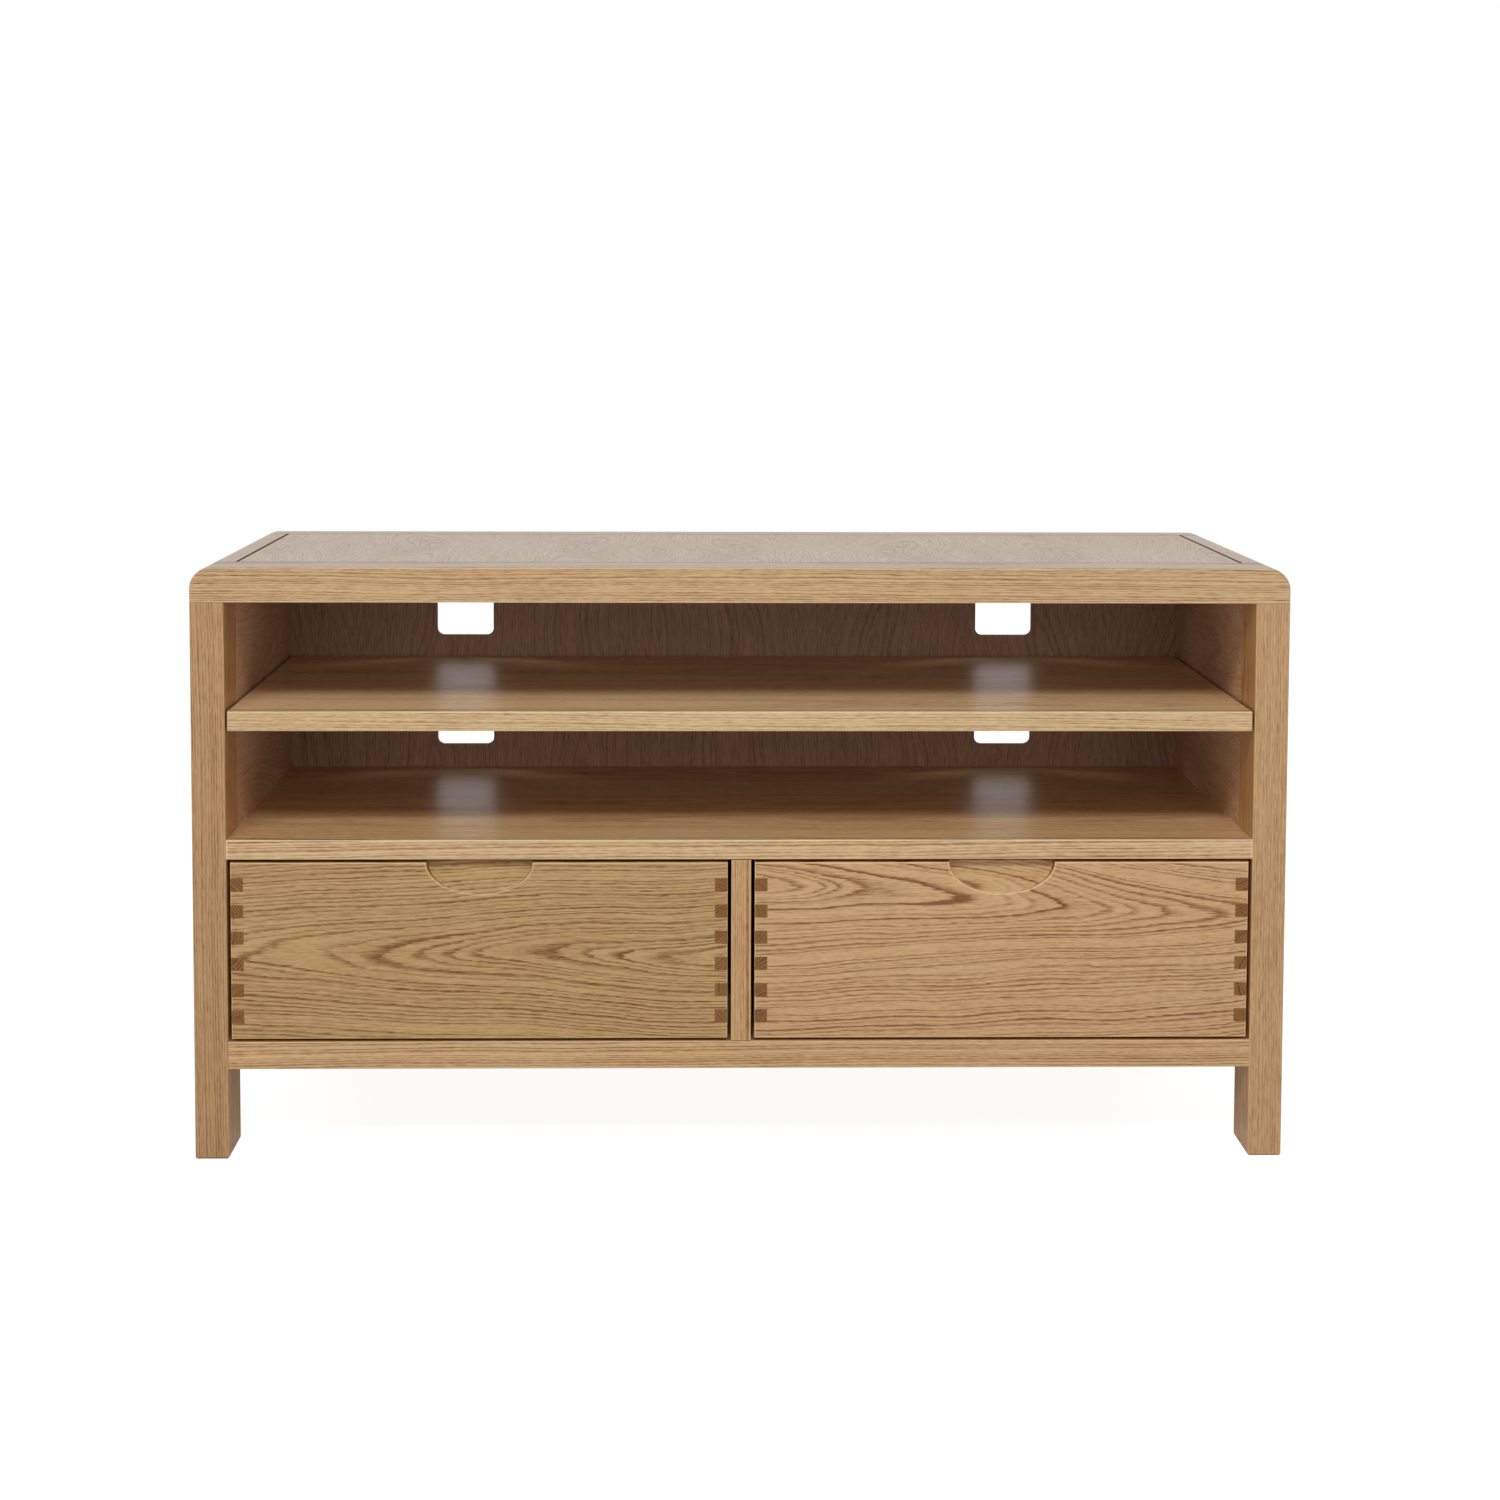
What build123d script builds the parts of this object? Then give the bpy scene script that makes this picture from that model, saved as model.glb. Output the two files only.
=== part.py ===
from build123d import *
import os

# Oak media cabinet: a post and rail carcass with a framed top, an open bay with
# one adjustable shelf, and two inset drawers with comb joints and scooped pulls.
# Millimetres. X runs to the right seen from the front, Y to the back, Z up.
# The origin is on the floor, below the middle of the cabinet.

# Overall size
width = 1100.0
depth = 450.0
height = 600.0

# Posts, which run down to the floor as legs
post_width = 34.0
post_depth = 70.0
foot_chamfer = 2.0

# Framed top
top_height = 35.0
corner_radius = 22.0
front_rail_depth = 60.0
back_rail_depth = 40.0
end_rail_width = 36.0
top_panel_thickness = 22.0
shadow_groove_width = 3.0
shadow_groove_depth = 8.0
top_tongue_rise = 4.0
end_tongue_inset = 10.0

# Levels and thicknesses below the top
bottom_rail_base = 92.0
bottom_rail_height = 28.0
bottom_rail_thickness = 20.0
drawer_opening_height = 185.5
shelf_thickness = 20.0
lower_bay_height = 110.0
base_panel_thickness = 16.0
side_panel_thickness = 20.0
divider_thickness = 20.0
lipping_depth = 12.0
front_setback = 1.0

# Back panel, let into a rebate, with cable cut-outs
back_panel_thickness = 6.0
back_panel_setback = 1.0
back_panel_rise = 4.0
back_panel_slack = 0.5
back_rebate_width = 12.0
back_rebate_height = 10.0
cut_out_width = 65.0
cut_out_height = 55.0
cut_out_radius = 8.0
cut_out_offset = 313.0
upper_cut_out_rise = 24.5
lower_cut_out_rise = 26.5

# Drawers
drawer_side_gap = 3.5
drawer_level_gap = 3.0
drawer_length = 400.0
drawer_front_thickness = 20.0
drawer_side_thickness = 13.0
finger_count = 6
finger_height = 13.4
drawer_bottom_thickness = 5.0
drawer_bottom_rise = 10.0
drawer_groove_depth = 6.0

# Scooped finger pull, half an ellipse with a hollow floor
pull_half_width = 53.0
pull_height = 32.0
pull_depth_low = 1.6
pull_depth_high = 11.0
pull_shoulder_radius = 3.0

# Drawer runners, guides and stops
runner_width = 15.0
runner_clearance = 0.4
runner_back_gap = 8.0
guide_clearance = 0.7
guide_height = 30.0
stop_width = 30.0
stop_depth = 14.0
stop_clearance = 0.5

# Joints and hardware
tongue = 8.0
tenon_thickness = 8.0
tenon_height = 16.0
tenon_length = 20.0
joint_slack = 0.1
post_tenon_thickness = 16.0
post_tenon_height = 14.0
front_tenon_inset = 12.0
front_tenon_depth = 36.0
back_tenon_inset = 10.0
back_tenon_depth = 20.0
housing_depth = 6.0
shelf_shoulder = 6.0
base_tongue_rise = 5.0
base_tongue_thickness = 6.0
divider_tongue = 6.0
divider_tongue_length = 380.0
pin_radius = 2.5
pin_hole_depth = 10.0
pin_reach = 8.0
pin_inset = 37.0
pin_pitch = 35.0
pin_slot_gap = 1.0
shelf_end_gap = 2.0
shelf_back_gap = 3.0

# Softened edges
soft_edge = 1.5
fine_edge = 1.0
drawer_edge = 1.2

# Faces and levels worked out from the sizes above
front = -depth / 2
back = depth / 2
inset_front = front + front_setback
post_inner = width / 2 - post_width
post_top = height - top_height
post_middle = width / 2 - post_width / 2
front_post_end = front + post_depth
back_post_start = back - post_depth
side_inner = post_inner
side_outer = side_inner + side_panel_thickness
side_middle = (side_inner + side_outer) / 2
bottom_rail_top = bottom_rail_base + bottom_rail_height
fixed_shelf_base = bottom_rail_top + drawer_opening_height
fixed_shelf_top = fixed_shelf_base + shelf_thickness
loose_shelf_base = fixed_shelf_top + lower_bay_height
loose_shelf_top = loose_shelf_base + shelf_thickness
back_panel_face = back - back_panel_setback - back_panel_thickness
rebate_edge = post_inner + back_rebate_width
lipping_back = inset_front + lipping_depth
shelf_tongue_span = (fixed_shelf_base, fixed_shelf_top - shelf_shoulder)

# The frame of the top: where the panel meets the rails, and the tongue's level
panel_front = front + front_rail_depth
panel_back = back - back_rail_depth
panel_end = width / 2 - end_rail_width
panel_base = height - top_panel_thickness
tongue_base = panel_base + top_tongue_rise
tongue_top = tongue_base + tongue
end_tongue_outer = width / 2 - end_tongue_inset

# Drawer faces, for the drawer on the right
drawer_height = drawer_opening_height - 2 * drawer_level_gap
drawer_base = bottom_rail_top + drawer_level_gap
drawer_top = drawer_base + drawer_height
drawer_inner_x = divider_thickness / 2 + drawer_side_gap
drawer_outer_x = post_inner - drawer_side_gap
drawer_width = drawer_outer_x - drawer_inner_x
drawer_middle_x = (drawer_inner_x + drawer_outer_x) / 2
drawer_front_back = inset_front + drawer_front_thickness
drawer_end = inset_front + drawer_length
drawer_back_front = drawer_end - drawer_side_thickness
finger_margin = (drawer_height - (2 * finger_count - 1) * finger_height) / 2

# Where the post tenons, the divider's tongues and the shelf pins go
front_tenon_start = front + front_tenon_inset
front_tenon_span = (front_tenon_start, front_tenon_start + front_tenon_depth)
back_tenon_end = back - back_tenon_inset
back_tenon_span = (back_tenon_end - back_tenon_depth, back_tenon_end)
divider_tongue_span = (-divider_tongue_length / 2, divider_tongue_length / 2)
front_pin_row = front + pin_inset
back_pin_row = back_panel_face - pin_inset


def block(x_span, y_span, z_span, mode=Mode.ADD):
    """A square-edged block between two limits on each axis."""
    spans = (x_span, y_span, z_span)
    with Locations(tuple(sum(span) / 2 for span in spans)):
        Box(*(max(span) - min(span) for span in spans), mode=mode)


def peg(centre, axis, radius, length, mode=Mode.ADD):
    """A round peg, or with Mode.SUBTRACT its hole, centred on a point along an axis."""
    turns = {"X": (0, 90, 0), "Y": (90, 0, 0), "Z": (0, 0, 0)}
    with Locations(Location(centre, turns[axis])):
        Cylinder(radius, length, mode=mode)


def save(builder, name):
    """Labels a finished piece and writes its file."""
    builder.part.label = name
    export_step(builder.part, f"parts/{name}.step")


def mirrored(span, side):
    """A span on X for the right-hand side, carried to the side asked for."""
    return tuple(sorted(side * value for value in span))


def eased(span):
    """A span widened by the slack of a joint, for the socket that takes a tenon."""
    return (min(span) - joint_slack, max(span) + joint_slack)


def post_tenon_block(side, is_front, grow=False, mode=Mode.ADD):
    """The stub tenon on a post's top, or its mortise in the rail above."""
    x_span = (post_middle - post_tenon_thickness / 2, post_middle + post_tenon_thickness / 2)
    y_span = front_tenon_span if is_front else back_tenon_span
    z_span = (post_top, post_top + post_tenon_height)
    if grow:
        x_span, y_span = eased(x_span), eased(y_span)
        z_span = (post_top, post_top + post_tenon_height + joint_slack)
    block(mirrored(x_span, side), y_span, z_span, mode)


def make_leg(name, side, is_front):
    """A post with its top tenon, panel groove, rail mortise and shelf-pin holes."""
    y_span = (front, front_post_end) if is_front else (back_post_start, back)
    groove_mouth = front_post_end if is_front else back_post_start
    groove_floor = groove_mouth + (-1 if is_front else 1) * (tongue + joint_slack)
    rail_middle = rail_centre(is_front)
    half_tenon = tenon_thickness / 2 + joint_slack
    tenon_base = bottom_rail_base + (bottom_rail_height - tenon_height) / 2
    with BuildPart() as leg:
        block(mirrored((post_inner, width / 2), side), y_span, (0, post_top))
        chamfer(leg.faces().sort_by(Axis.Z)[0].edges(), foot_chamfer)
        uprights = leg.edges().filter_by(Axis.Z)
        inner_uprights = uprights.filter_by_position(Axis.X, side * post_inner, side * post_inner)
        flush_upright = inner_uprights.filter_by_position(Axis.Y, groove_mouth, groove_mouth)
        fillet(uprights - flush_upright, soft_edge)
        block(
            mirrored((side_middle - tongue / 2 - joint_slack, side_middle + tongue / 2 + joint_slack), side),
            (groove_mouth, groove_floor),
            (bottom_rail_base - joint_slack, post_top),
            Mode.SUBTRACT,
        )
        block(
            mirrored((post_inner, post_inner + tenon_length + joint_slack), side),
            (rail_middle - half_tenon, rail_middle + half_tenon),
            (tenon_base - joint_slack, tenon_base + tenon_height + joint_slack),
            Mode.SUBTRACT,
        )
        post_tenon_block(side, is_front)
        pin_row = front_pin_row if is_front else back_pin_row
        for step in (-1, 0, 1):
            level = loose_shelf_base + step * pin_pitch
            peg((side * post_inner, pin_row, level), "X", pin_radius, 2 * pin_hole_depth, Mode.SUBTRACT)
        if not is_front:
            block(
                mirrored((post_inner, rebate_edge), side),
                (back_panel_face, back),
                (bottom_rail_base, post_top),
                Mode.SUBTRACT,
            )
    save(leg, name)


def rail_centre(is_front):
    """The middle of a bottom rail's thickness, on Y."""
    if is_front:
        return inset_front + bottom_rail_thickness / 2
    return back_panel_face - bottom_rail_thickness / 2


def make_top_rail(name, is_front):
    """The front or back rail of the top: full width, with the ends rounded over."""
    y_span = (front, panel_front) if is_front else (panel_back, back)
    outer_face = y_span[0] if is_front else y_span[1]
    groove_mouth = panel_front if is_front else panel_back
    groove_floor = groove_mouth + (-1 if is_front else 1) * (tongue + joint_slack)
    with BuildPart() as rail:
        block((-width / 2, width / 2), y_span, (post_top, height))
        top_face = rail.faces().sort_by(Axis.Z)[-1]
        fillet(top_face.edges().filter_by(Axis.Y), corner_radius)
        outer_edges = rail.edges().filter_by_position(Axis.Y, outer_face, outer_face)
        fillet(outer_edges.sort_by(Axis.Z)[1:], soft_edge)
        block(
            (-end_tongue_outer - joint_slack, end_tongue_outer + joint_slack),
            (groove_mouth, groove_floor),
            (tongue_base - joint_slack, tongue_top + joint_slack),
            Mode.SUBTRACT,
        )
        for side in (-1, 1):
            post_tenon_block(side, is_front, True, Mode.SUBTRACT)
        if not is_front:
            block(
                (-rebate_edge, rebate_edge),
                (back_panel_face, back),
                (post_top, post_top + back_rebate_height),
                Mode.SUBTRACT,
            )
    save(rail, name)


def make_end_rail(name, side):
    """An end rail of the top, rounded along its outer edge, tongued at both ends."""
    with BuildPart() as rail:
        block(mirrored((panel_end, width / 2), side), (panel_front, panel_back), (post_top, height))
        outer_edges = rail.edges().filter_by(Axis.Y).sort_by(Axis.X)
        outer_pair = outer_edges[-2:] if side > 0 else outer_edges[:2]
        fillet(outer_pair.sort_by(Axis.Z)[-1], corner_radius)
        block(
            mirrored((panel_end, panel_end + tongue + joint_slack), side),
            (panel_front, panel_back),
            (tongue_base - joint_slack, tongue_top + joint_slack),
            Mode.SUBTRACT,
        )
        block(
            mirrored((panel_end + tongue + 2 * joint_slack, end_tongue_outer), side),
            (panel_front - tongue, panel_back + tongue),
            (tongue_base, tongue_top),
        )
    save(rail, name)


def make_top_panel():
    """The veneered panel, tongued all round, with a shadow groove at each end."""
    groove_base = height - shadow_groove_depth
    with BuildPart() as top_panel:
        block((-panel_end, panel_end), (panel_front, panel_back), (panel_base, height))
        block(
            (-panel_end - tongue, panel_end + tongue),
            (panel_front - tongue, panel_back + tongue),
            (tongue_base, tongue_top),
        )
        for side in (-1, 1):
            block(
                mirrored((panel_end - shadow_groove_width, panel_end), side),
                (panel_front, panel_back),
                (groove_base, height),
                Mode.SUBTRACT,
            )
    save(top_panel, "top_panel")


def make_side_panel(name, side):
    """A side panel flush inside with its two posts, tongued into both and housed for the shelves."""
    base_span = (bottom_rail_top - base_panel_thickness, bottom_rail_top)
    with BuildPart() as panel:
        block(
            mirrored((side_inner, side_outer), side),
            (front_post_end, back_post_start),
            (bottom_rail_base, post_top),
        )
        block(
            mirrored((side_middle - tongue / 2, side_middle + tongue / 2), side),
            (front_post_end - tongue, back_post_start + tongue),
            (bottom_rail_base, post_top),
        )
        for z_span in (base_span, shelf_tongue_span):
            block(
                mirrored((side_inner, side_inner + housing_depth), side),
                (front_post_end, back_post_start),
                z_span,
                Mode.SUBTRACT,
            )
    save(panel, name)


def make_bottom_rail(name, is_front):
    """A bottom rail with a stub tenon at each end and a groove for the base panel."""
    middle = rail_centre(is_front)
    half = bottom_rail_thickness / 2
    inner_face = middle + (half if is_front else -half)
    groove_floor = inner_face + (-1 if is_front else 1) * (tongue + joint_slack)
    tenon_base = bottom_rail_base + (bottom_rail_height - tenon_height) / 2
    base_tongue = base_tongue_span()
    with BuildPart() as rail:
        block((-post_inner, post_inner), (middle - half, middle + half), (bottom_rail_base, bottom_rail_top))
        if is_front:
            front_edges = rail.edges().filter_by(Axis.X).filter_by_position(Axis.Y, inset_front, inset_front)
            fillet(front_edges, fine_edge)
        block(
            (-post_inner - tenon_length, post_inner + tenon_length),
            (middle - tenon_thickness / 2, middle + tenon_thickness / 2),
            (tenon_base, tenon_base + tenon_height),
        )
        block(
            (-post_inner + tongue, post_inner - tongue),
            (inner_face, groove_floor),
            (base_tongue[0] - joint_slack, base_tongue[1] + joint_slack),
            Mode.SUBTRACT,
        )
    save(rail, name)


def base_tongue_span():
    """The levels of the base panel's tongue, in the middle of its thickness."""
    base = bottom_rail_top - base_panel_thickness
    return (base + base_tongue_rise, base + base_tongue_rise + base_tongue_thickness)


def make_base_panel():
    """The panel under the drawers: between the rails, housed in the side panels."""
    housed = side_inner + housing_depth - joint_slack
    y_span = (inset_front + bottom_rail_thickness, back_panel_face - bottom_rail_thickness)
    z_span = (bottom_rail_top - base_panel_thickness, bottom_rail_top)
    tongue_end = post_inner - tongue - joint_slack
    with BuildPart() as base_panel:
        block((-post_inner, post_inner), y_span, z_span)
        block((-housed, housed), (front_post_end, back_post_start), z_span)
        block((-tongue_end, tongue_end), (y_span[0] - tongue, y_span[1] + tongue), base_tongue_span())
        divider_groove(bottom_rail_top)
    save(base_panel, "base_panel")


def divider_groove(level):
    """The stopped groove that takes the divider's tongue, on either side of a level."""
    reach = divider_tongue + joint_slack
    half = tongue / 2 + joint_slack
    block((-half, half), eased(divider_tongue_span), (level - reach, level + reach), Mode.SUBTRACT)


def make_back_panel():
    """The back panel with a rounded cable cut-out behind each half of each bay."""
    y_span = (back_panel_face, back_panel_face + back_panel_thickness)
    z_span = (bottom_rail_base + back_panel_rise, post_top + back_rebate_height - back_panel_slack)
    half_width = rebate_edge - back_panel_slack
    levels = (loose_shelf_top + upper_cut_out_rise, fixed_shelf_top + lower_cut_out_rise)
    with BuildPart() as back_panel:
        block((-half_width, half_width), y_span, z_span)
        with BuildSketch(Plane.XZ.offset(-y_span[1])):
            for level in levels:
                with Locations((-cut_out_offset, level + cut_out_height / 2)):
                    RectangleRounded(cut_out_width, cut_out_height, cut_out_radius)
                with Locations((cut_out_offset, level + cut_out_height / 2)):
                    RectangleRounded(cut_out_width, cut_out_height, cut_out_radius)
        extrude(amount=back_panel_thickness, mode=Mode.SUBTRACT)
    save(back_panel, "back_panel")


def make_lipping(name, half_width, base):
    """The solid strip along a shelf's front edge, softened at both arrises."""
    with BuildPart() as lipping:
        block((-half_width, half_width), (inset_front, lipping_back), (base, base + shelf_thickness))
        front_edges = lipping.edges().filter_by(Axis.X).filter_by_position(Axis.Y, inset_front, inset_front)
        fillet(front_edges, soft_edge)
    save(lipping, name)


def make_fixed_shelf():
    """The shelf over the drawers, tongued into the side panels between the posts."""
    z_span = (fixed_shelf_base, fixed_shelf_top)
    housed = side_inner + housing_depth - joint_slack
    with BuildPart() as fixed_shelf:
        block((-post_inner, post_inner), (lipping_back, back_panel_face), z_span)
        block((-housed, housed), (front_post_end, back_post_start), shelf_tongue_span)
        divider_groove(fixed_shelf_base)
    save(fixed_shelf, "fixed_shelf")
    make_lipping("fixed_shelf_lipping", post_inner, fixed_shelf_base)


def make_adjustable_shelf():
    """The loose shelf, slotted underneath at each end to drop over its pins."""
    half_width = post_inner - shelf_end_gap
    slot_depth = pin_radius + joint_slack
    half_slot = pin_radius + joint_slack
    with BuildPart() as adjustable_shelf:
        block(
            (-half_width, half_width),
            (lipping_back, back_panel_face - shelf_back_gap),
            (loose_shelf_base, loose_shelf_top),
        )
        for side in (-1, 1):
            for row in (front_pin_row, back_pin_row):
                block(
                    mirrored((post_inner - pin_reach - pin_slot_gap, half_width), side),
                    (row - half_slot, row + half_slot),
                    (loose_shelf_base, loose_shelf_base + slot_depth),
                    Mode.SUBTRACT,
                )
    save(adjustable_shelf, "adjustable_shelf")
    make_lipping("adjustable_shelf_lipping", half_width, loose_shelf_base)


def make_shelf_pins():
    """Four steel pins under the ends of the adjustable shelf."""
    pin_length = pin_reach + pin_hole_depth
    with BuildPart() as shelf_pins:
        for side in (-1, 1):
            pin_middle = post_inner + (pin_hole_depth - pin_reach) / 2
            for row in (front_pin_row, back_pin_row):
                peg((side * pin_middle, row, loose_shelf_base), "X", pin_radius, pin_length)
    save(shelf_pins, "shelf_pins")


def make_divider():
    """The upright between the drawers, and the solid strip on its front edge."""
    half = divider_thickness / 2
    z_span = (bottom_rail_top, fixed_shelf_base)
    with BuildPart() as drawer_divider:
        block((-half, half), (lipping_back, back_panel_face), z_span)
        block(
            (-tongue / 2, tongue / 2),
            divider_tongue_span,
            (bottom_rail_top - divider_tongue, fixed_shelf_base + divider_tongue),
        )
    save(drawer_divider, "drawer_divider")
    with BuildPart() as divider_lipping:
        block((-half, half), (inset_front, lipping_back), z_span)
        upright_edges = divider_lipping.edges().filter_by(Axis.Z)
        fillet(upright_edges.filter_by_position(Axis.Y, inset_front, inset_front), fine_edge)
    save(divider_lipping, "divider_lipping")


def make_runner(name, side, is_outer):
    """A hardwood strip that one drawer side slides along."""
    start = guide_face(is_outer)
    x_span = (start - runner_width, start) if is_outer else (start, start + runner_width)
    y_span = (inset_front + bottom_rail_thickness, back_panel_face - runner_back_gap)
    z_span = (bottom_rail_top, drawer_base - runner_clearance)
    with BuildPart() as runner:
        block(mirrored(x_span, side), y_span, z_span)
    save(runner, name)


def guide_face(is_outer):
    """The face of a side guide that the drawer passes, on X."""
    if is_outer:
        return drawer_outer_x + guide_clearance
    return drawer_inner_x - guide_clearance


def make_guide(name, side, is_outer):
    """A strip that keeps the drawer straight, on the side panel or on the divider."""
    far_face = side_inner if is_outer else divider_thickness / 2
    y_span = (front_post_end, back_post_start)
    with BuildPart() as guide:
        block(
            mirrored((guide_face(is_outer), far_face), side),
            y_span,
            (bottom_rail_top, bottom_rail_top + guide_height),
        )
    save(guide, name)


def make_drawer_stops():
    """Blocks on the base panel that the drawers close against."""
    start = drawer_end + stop_clearance
    with BuildPart() as drawer_stops:
        for side in (-1, 1):
            for offset in (-drawer_width / 4, drawer_width / 4):
                middle = side * drawer_middle_x + offset
                block(
                    (middle - stop_width / 2, middle + stop_width / 2),
                    (start, start + stop_depth),
                    (bottom_rail_top, bottom_rail_top + guide_height),
                )
    save(drawer_stops, "drawer_stops")


def finger_spans():
    """The levels of the drawer side's fingers, from the lowest up."""
    first = drawer_base + finger_margin
    lows = [first + 2 * step * finger_height for step in range(finger_count)]
    return [(low, low + finger_height) for low in lows]


def cut_finger_sockets(side, y_span):
    """Takes the drawer sides' fingers out of both ends of a front or back."""
    for x_span in ((drawer_inner_x, drawer_inner_x + drawer_side_thickness),
                   (drawer_outer_x - drawer_side_thickness, drawer_outer_x)):
        for z_span in finger_spans():
            block(mirrored(x_span, side), y_span, z_span, Mode.SUBTRACT)


def bottom_groove_span():
    """The levels of the groove that holds the drawer bottom."""
    base = drawer_base + drawer_bottom_rise
    return (base, base + drawer_bottom_thickness)


def make_pull_cutter(side):
    """The half-moon scoop: half an ellipse in front view, with a floor hollowed like a cove."""
    middle = side * drawer_middle_x
    face = Plane.XZ.offset(-inset_front)
    with BuildSketch(face) as face_left:
        with Locations((middle, drawer_top - pull_height)):
            Rectangle(4 * pull_half_width, 2 * pull_height)
        with Locations((middle, drawer_top)):
            Ellipse(pull_half_width, pull_height, mode=Mode.SUBTRACT)
        shoulders = face_left.vertices().filter_by_position(Axis.Z, drawer_top, drawer_top)
        fillet(shoulders.sort_by(Axis.X)[1:3], pull_shoulder_radius)
    with BuildSketch(face) as half_moon:
        with Locations((middle, drawer_top - pull_height)):
            Rectangle(4 * pull_half_width, 2 * pull_height)
        add(face_left.sketch, mode=Mode.SUBTRACT)
    rise = pull_depth_high - pull_depth_low
    floor_radius = (rise**2 + pull_height**2) / (2 * rise)
    floor_axis = (middle, inset_front + pull_depth_high - floor_radius, drawer_top)
    with BuildPart() as cutter:
        extrude(half_moon.sketch, amount=-drawer_front_thickness)
        peg(floor_axis, "X", floor_radius, 4 * pull_half_width, Mode.INTERSECT)
    return cutter.part


def make_drawer_front(name, side):
    """The drawer front: socketed for the comb joints, with the scooped pull."""
    x_span = mirrored((drawer_inner_x, drawer_outer_x), side)
    inner_span = mirrored((drawer_inner_x + drawer_side_thickness - drawer_groove_depth,
                           drawer_outer_x - drawer_side_thickness + drawer_groove_depth), side)
    cutter = make_pull_cutter(side)
    with BuildPart() as drawer_front:
        block(x_span, (inset_front, drawer_front_back), (drawer_base, drawer_top))
        add(cutter, mode=Mode.SUBTRACT)
        rim = drawer_front.edges().filter_by_position(Axis.Y, inset_front, inset_front)
        fillet(rim, drawer_edge)
        cut_finger_sockets(side, (inset_front, drawer_front_back))
        block(
            inner_span,
            (drawer_front_back - drawer_groove_depth, drawer_front_back),
            bottom_groove_span(),
            Mode.SUBTRACT,
        )
    save(drawer_front, name)


def make_drawer_side(name, side, is_outer):
    """A drawer side with comb fingers at both ends and a groove for the bottom."""
    if is_outer:
        x_span = (drawer_outer_x - drawer_side_thickness, drawer_outer_x)
        groove_span = (x_span[0], x_span[0] + drawer_groove_depth)
    else:
        x_span = (drawer_inner_x, drawer_inner_x + drawer_side_thickness)
        groove_span = (x_span[1] - drawer_groove_depth, x_span[1])
    outer_face = side * (drawer_outer_x if is_outer else drawer_inner_x)
    with BuildPart() as drawer_side:
        block(mirrored(x_span, side), (inset_front, drawer_end), (drawer_base, drawer_top))
        corner = drawer_side.edges().filter_by(Axis.Z).filter_by_position(Axis.X, outer_face, outer_face)
        fillet(corner.sort_by(Axis.Y)[0], drawer_edge)
        first, last = finger_spans()[0][0], finger_spans()[-1][1]
        gaps = [(drawer_base, first)]
        gaps += [(low + finger_height, low + 2 * finger_height) for low, _ in finger_spans()[:-1]]
        gaps += [(last, drawer_top)]
        for y_span in ((inset_front, drawer_front_back), (drawer_back_front, drawer_end)):
            for z_span in gaps:
                block(mirrored(x_span, side), y_span, z_span, Mode.SUBTRACT)
        block(
            mirrored(groove_span, side),
            (drawer_front_back, drawer_back_front),
            bottom_groove_span(),
            Mode.SUBTRACT,
        )
    save(drawer_side, name)


def make_drawer_back(name, side):
    """The drawer back, comb jointed like the front."""
    inner_span = mirrored((drawer_inner_x + drawer_side_thickness - drawer_groove_depth,
                           drawer_outer_x - drawer_side_thickness + drawer_groove_depth), side)
    with BuildPart() as drawer_back:
        block(
            mirrored((drawer_inner_x, drawer_outer_x), side),
            (drawer_back_front, drawer_end),
            (drawer_base, drawer_top),
        )
        cut_finger_sockets(side, (drawer_back_front, drawer_end))
        block(
            inner_span,
            (drawer_back_front, drawer_back_front + drawer_groove_depth),
            bottom_groove_span(),
            Mode.SUBTRACT,
        )
    save(drawer_back, name)


def make_drawer_bottom(name, side):
    """The thin drawer bottom, loose in its grooves on all four sides."""
    reach = drawer_groove_depth - 2 * joint_slack
    base, top = bottom_groove_span()
    x_span = (drawer_inner_x + drawer_side_thickness - reach, drawer_outer_x - drawer_side_thickness + reach)
    with BuildPart() as drawer_bottom:
        block(
            mirrored(x_span, side),
            (drawer_front_back - reach, drawer_back_front + reach),
            (base + joint_slack, top - joint_slack),
        )
    save(drawer_bottom, name)


os.makedirs("parts", exist_ok=True)

sides = {"left": -1, "right": 1}

# Carcass
for word, side in sides.items():
    make_leg(f"leg_front_{word}", side, True)
    make_leg(f"leg_back_{word}", side, False)
    make_end_rail(f"top_end_rail_{word}", side)
    make_side_panel(f"side_panel_{word}", side)
make_top_rail("top_rail_front", True)
make_top_rail("top_rail_back", False)
make_top_panel()
make_bottom_rail("bottom_rail_front", True)
make_bottom_rail("bottom_rail_back", False)
make_base_panel()
make_back_panel()
make_fixed_shelf()
make_adjustable_shelf()
make_shelf_pins()
make_divider()

# Drawer runners, guides and stops
for word, side in sides.items():
    for place, is_outer in (("outer", True), ("inner", False)):
        make_runner(f"drawer_runner_{word}_{place}", side, is_outer)
        make_guide(f"drawer_guide_{word}_{place}", side, is_outer)
make_drawer_stops()

# Drawers
for word, side in sides.items():
    make_drawer_front(f"drawer_front_{word}", side)
    make_drawer_back(f"drawer_back_{word}", side)
    make_drawer_bottom(f"drawer_bottom_{word}", side)
    for place, is_outer in (("outer", True), ("inner", False)):
        make_drawer_side(f"drawer_side_{word}_{place}", side, is_outer)
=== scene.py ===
import math
from typing import NamedTuple

import bmesh
import bpy
from bpy.props import FloatProperty, FloatVectorProperty, PointerProperty
from bpy.types import Operator, Panel, PropertyGroup
from mathutils import Matrix, Vector


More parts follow.
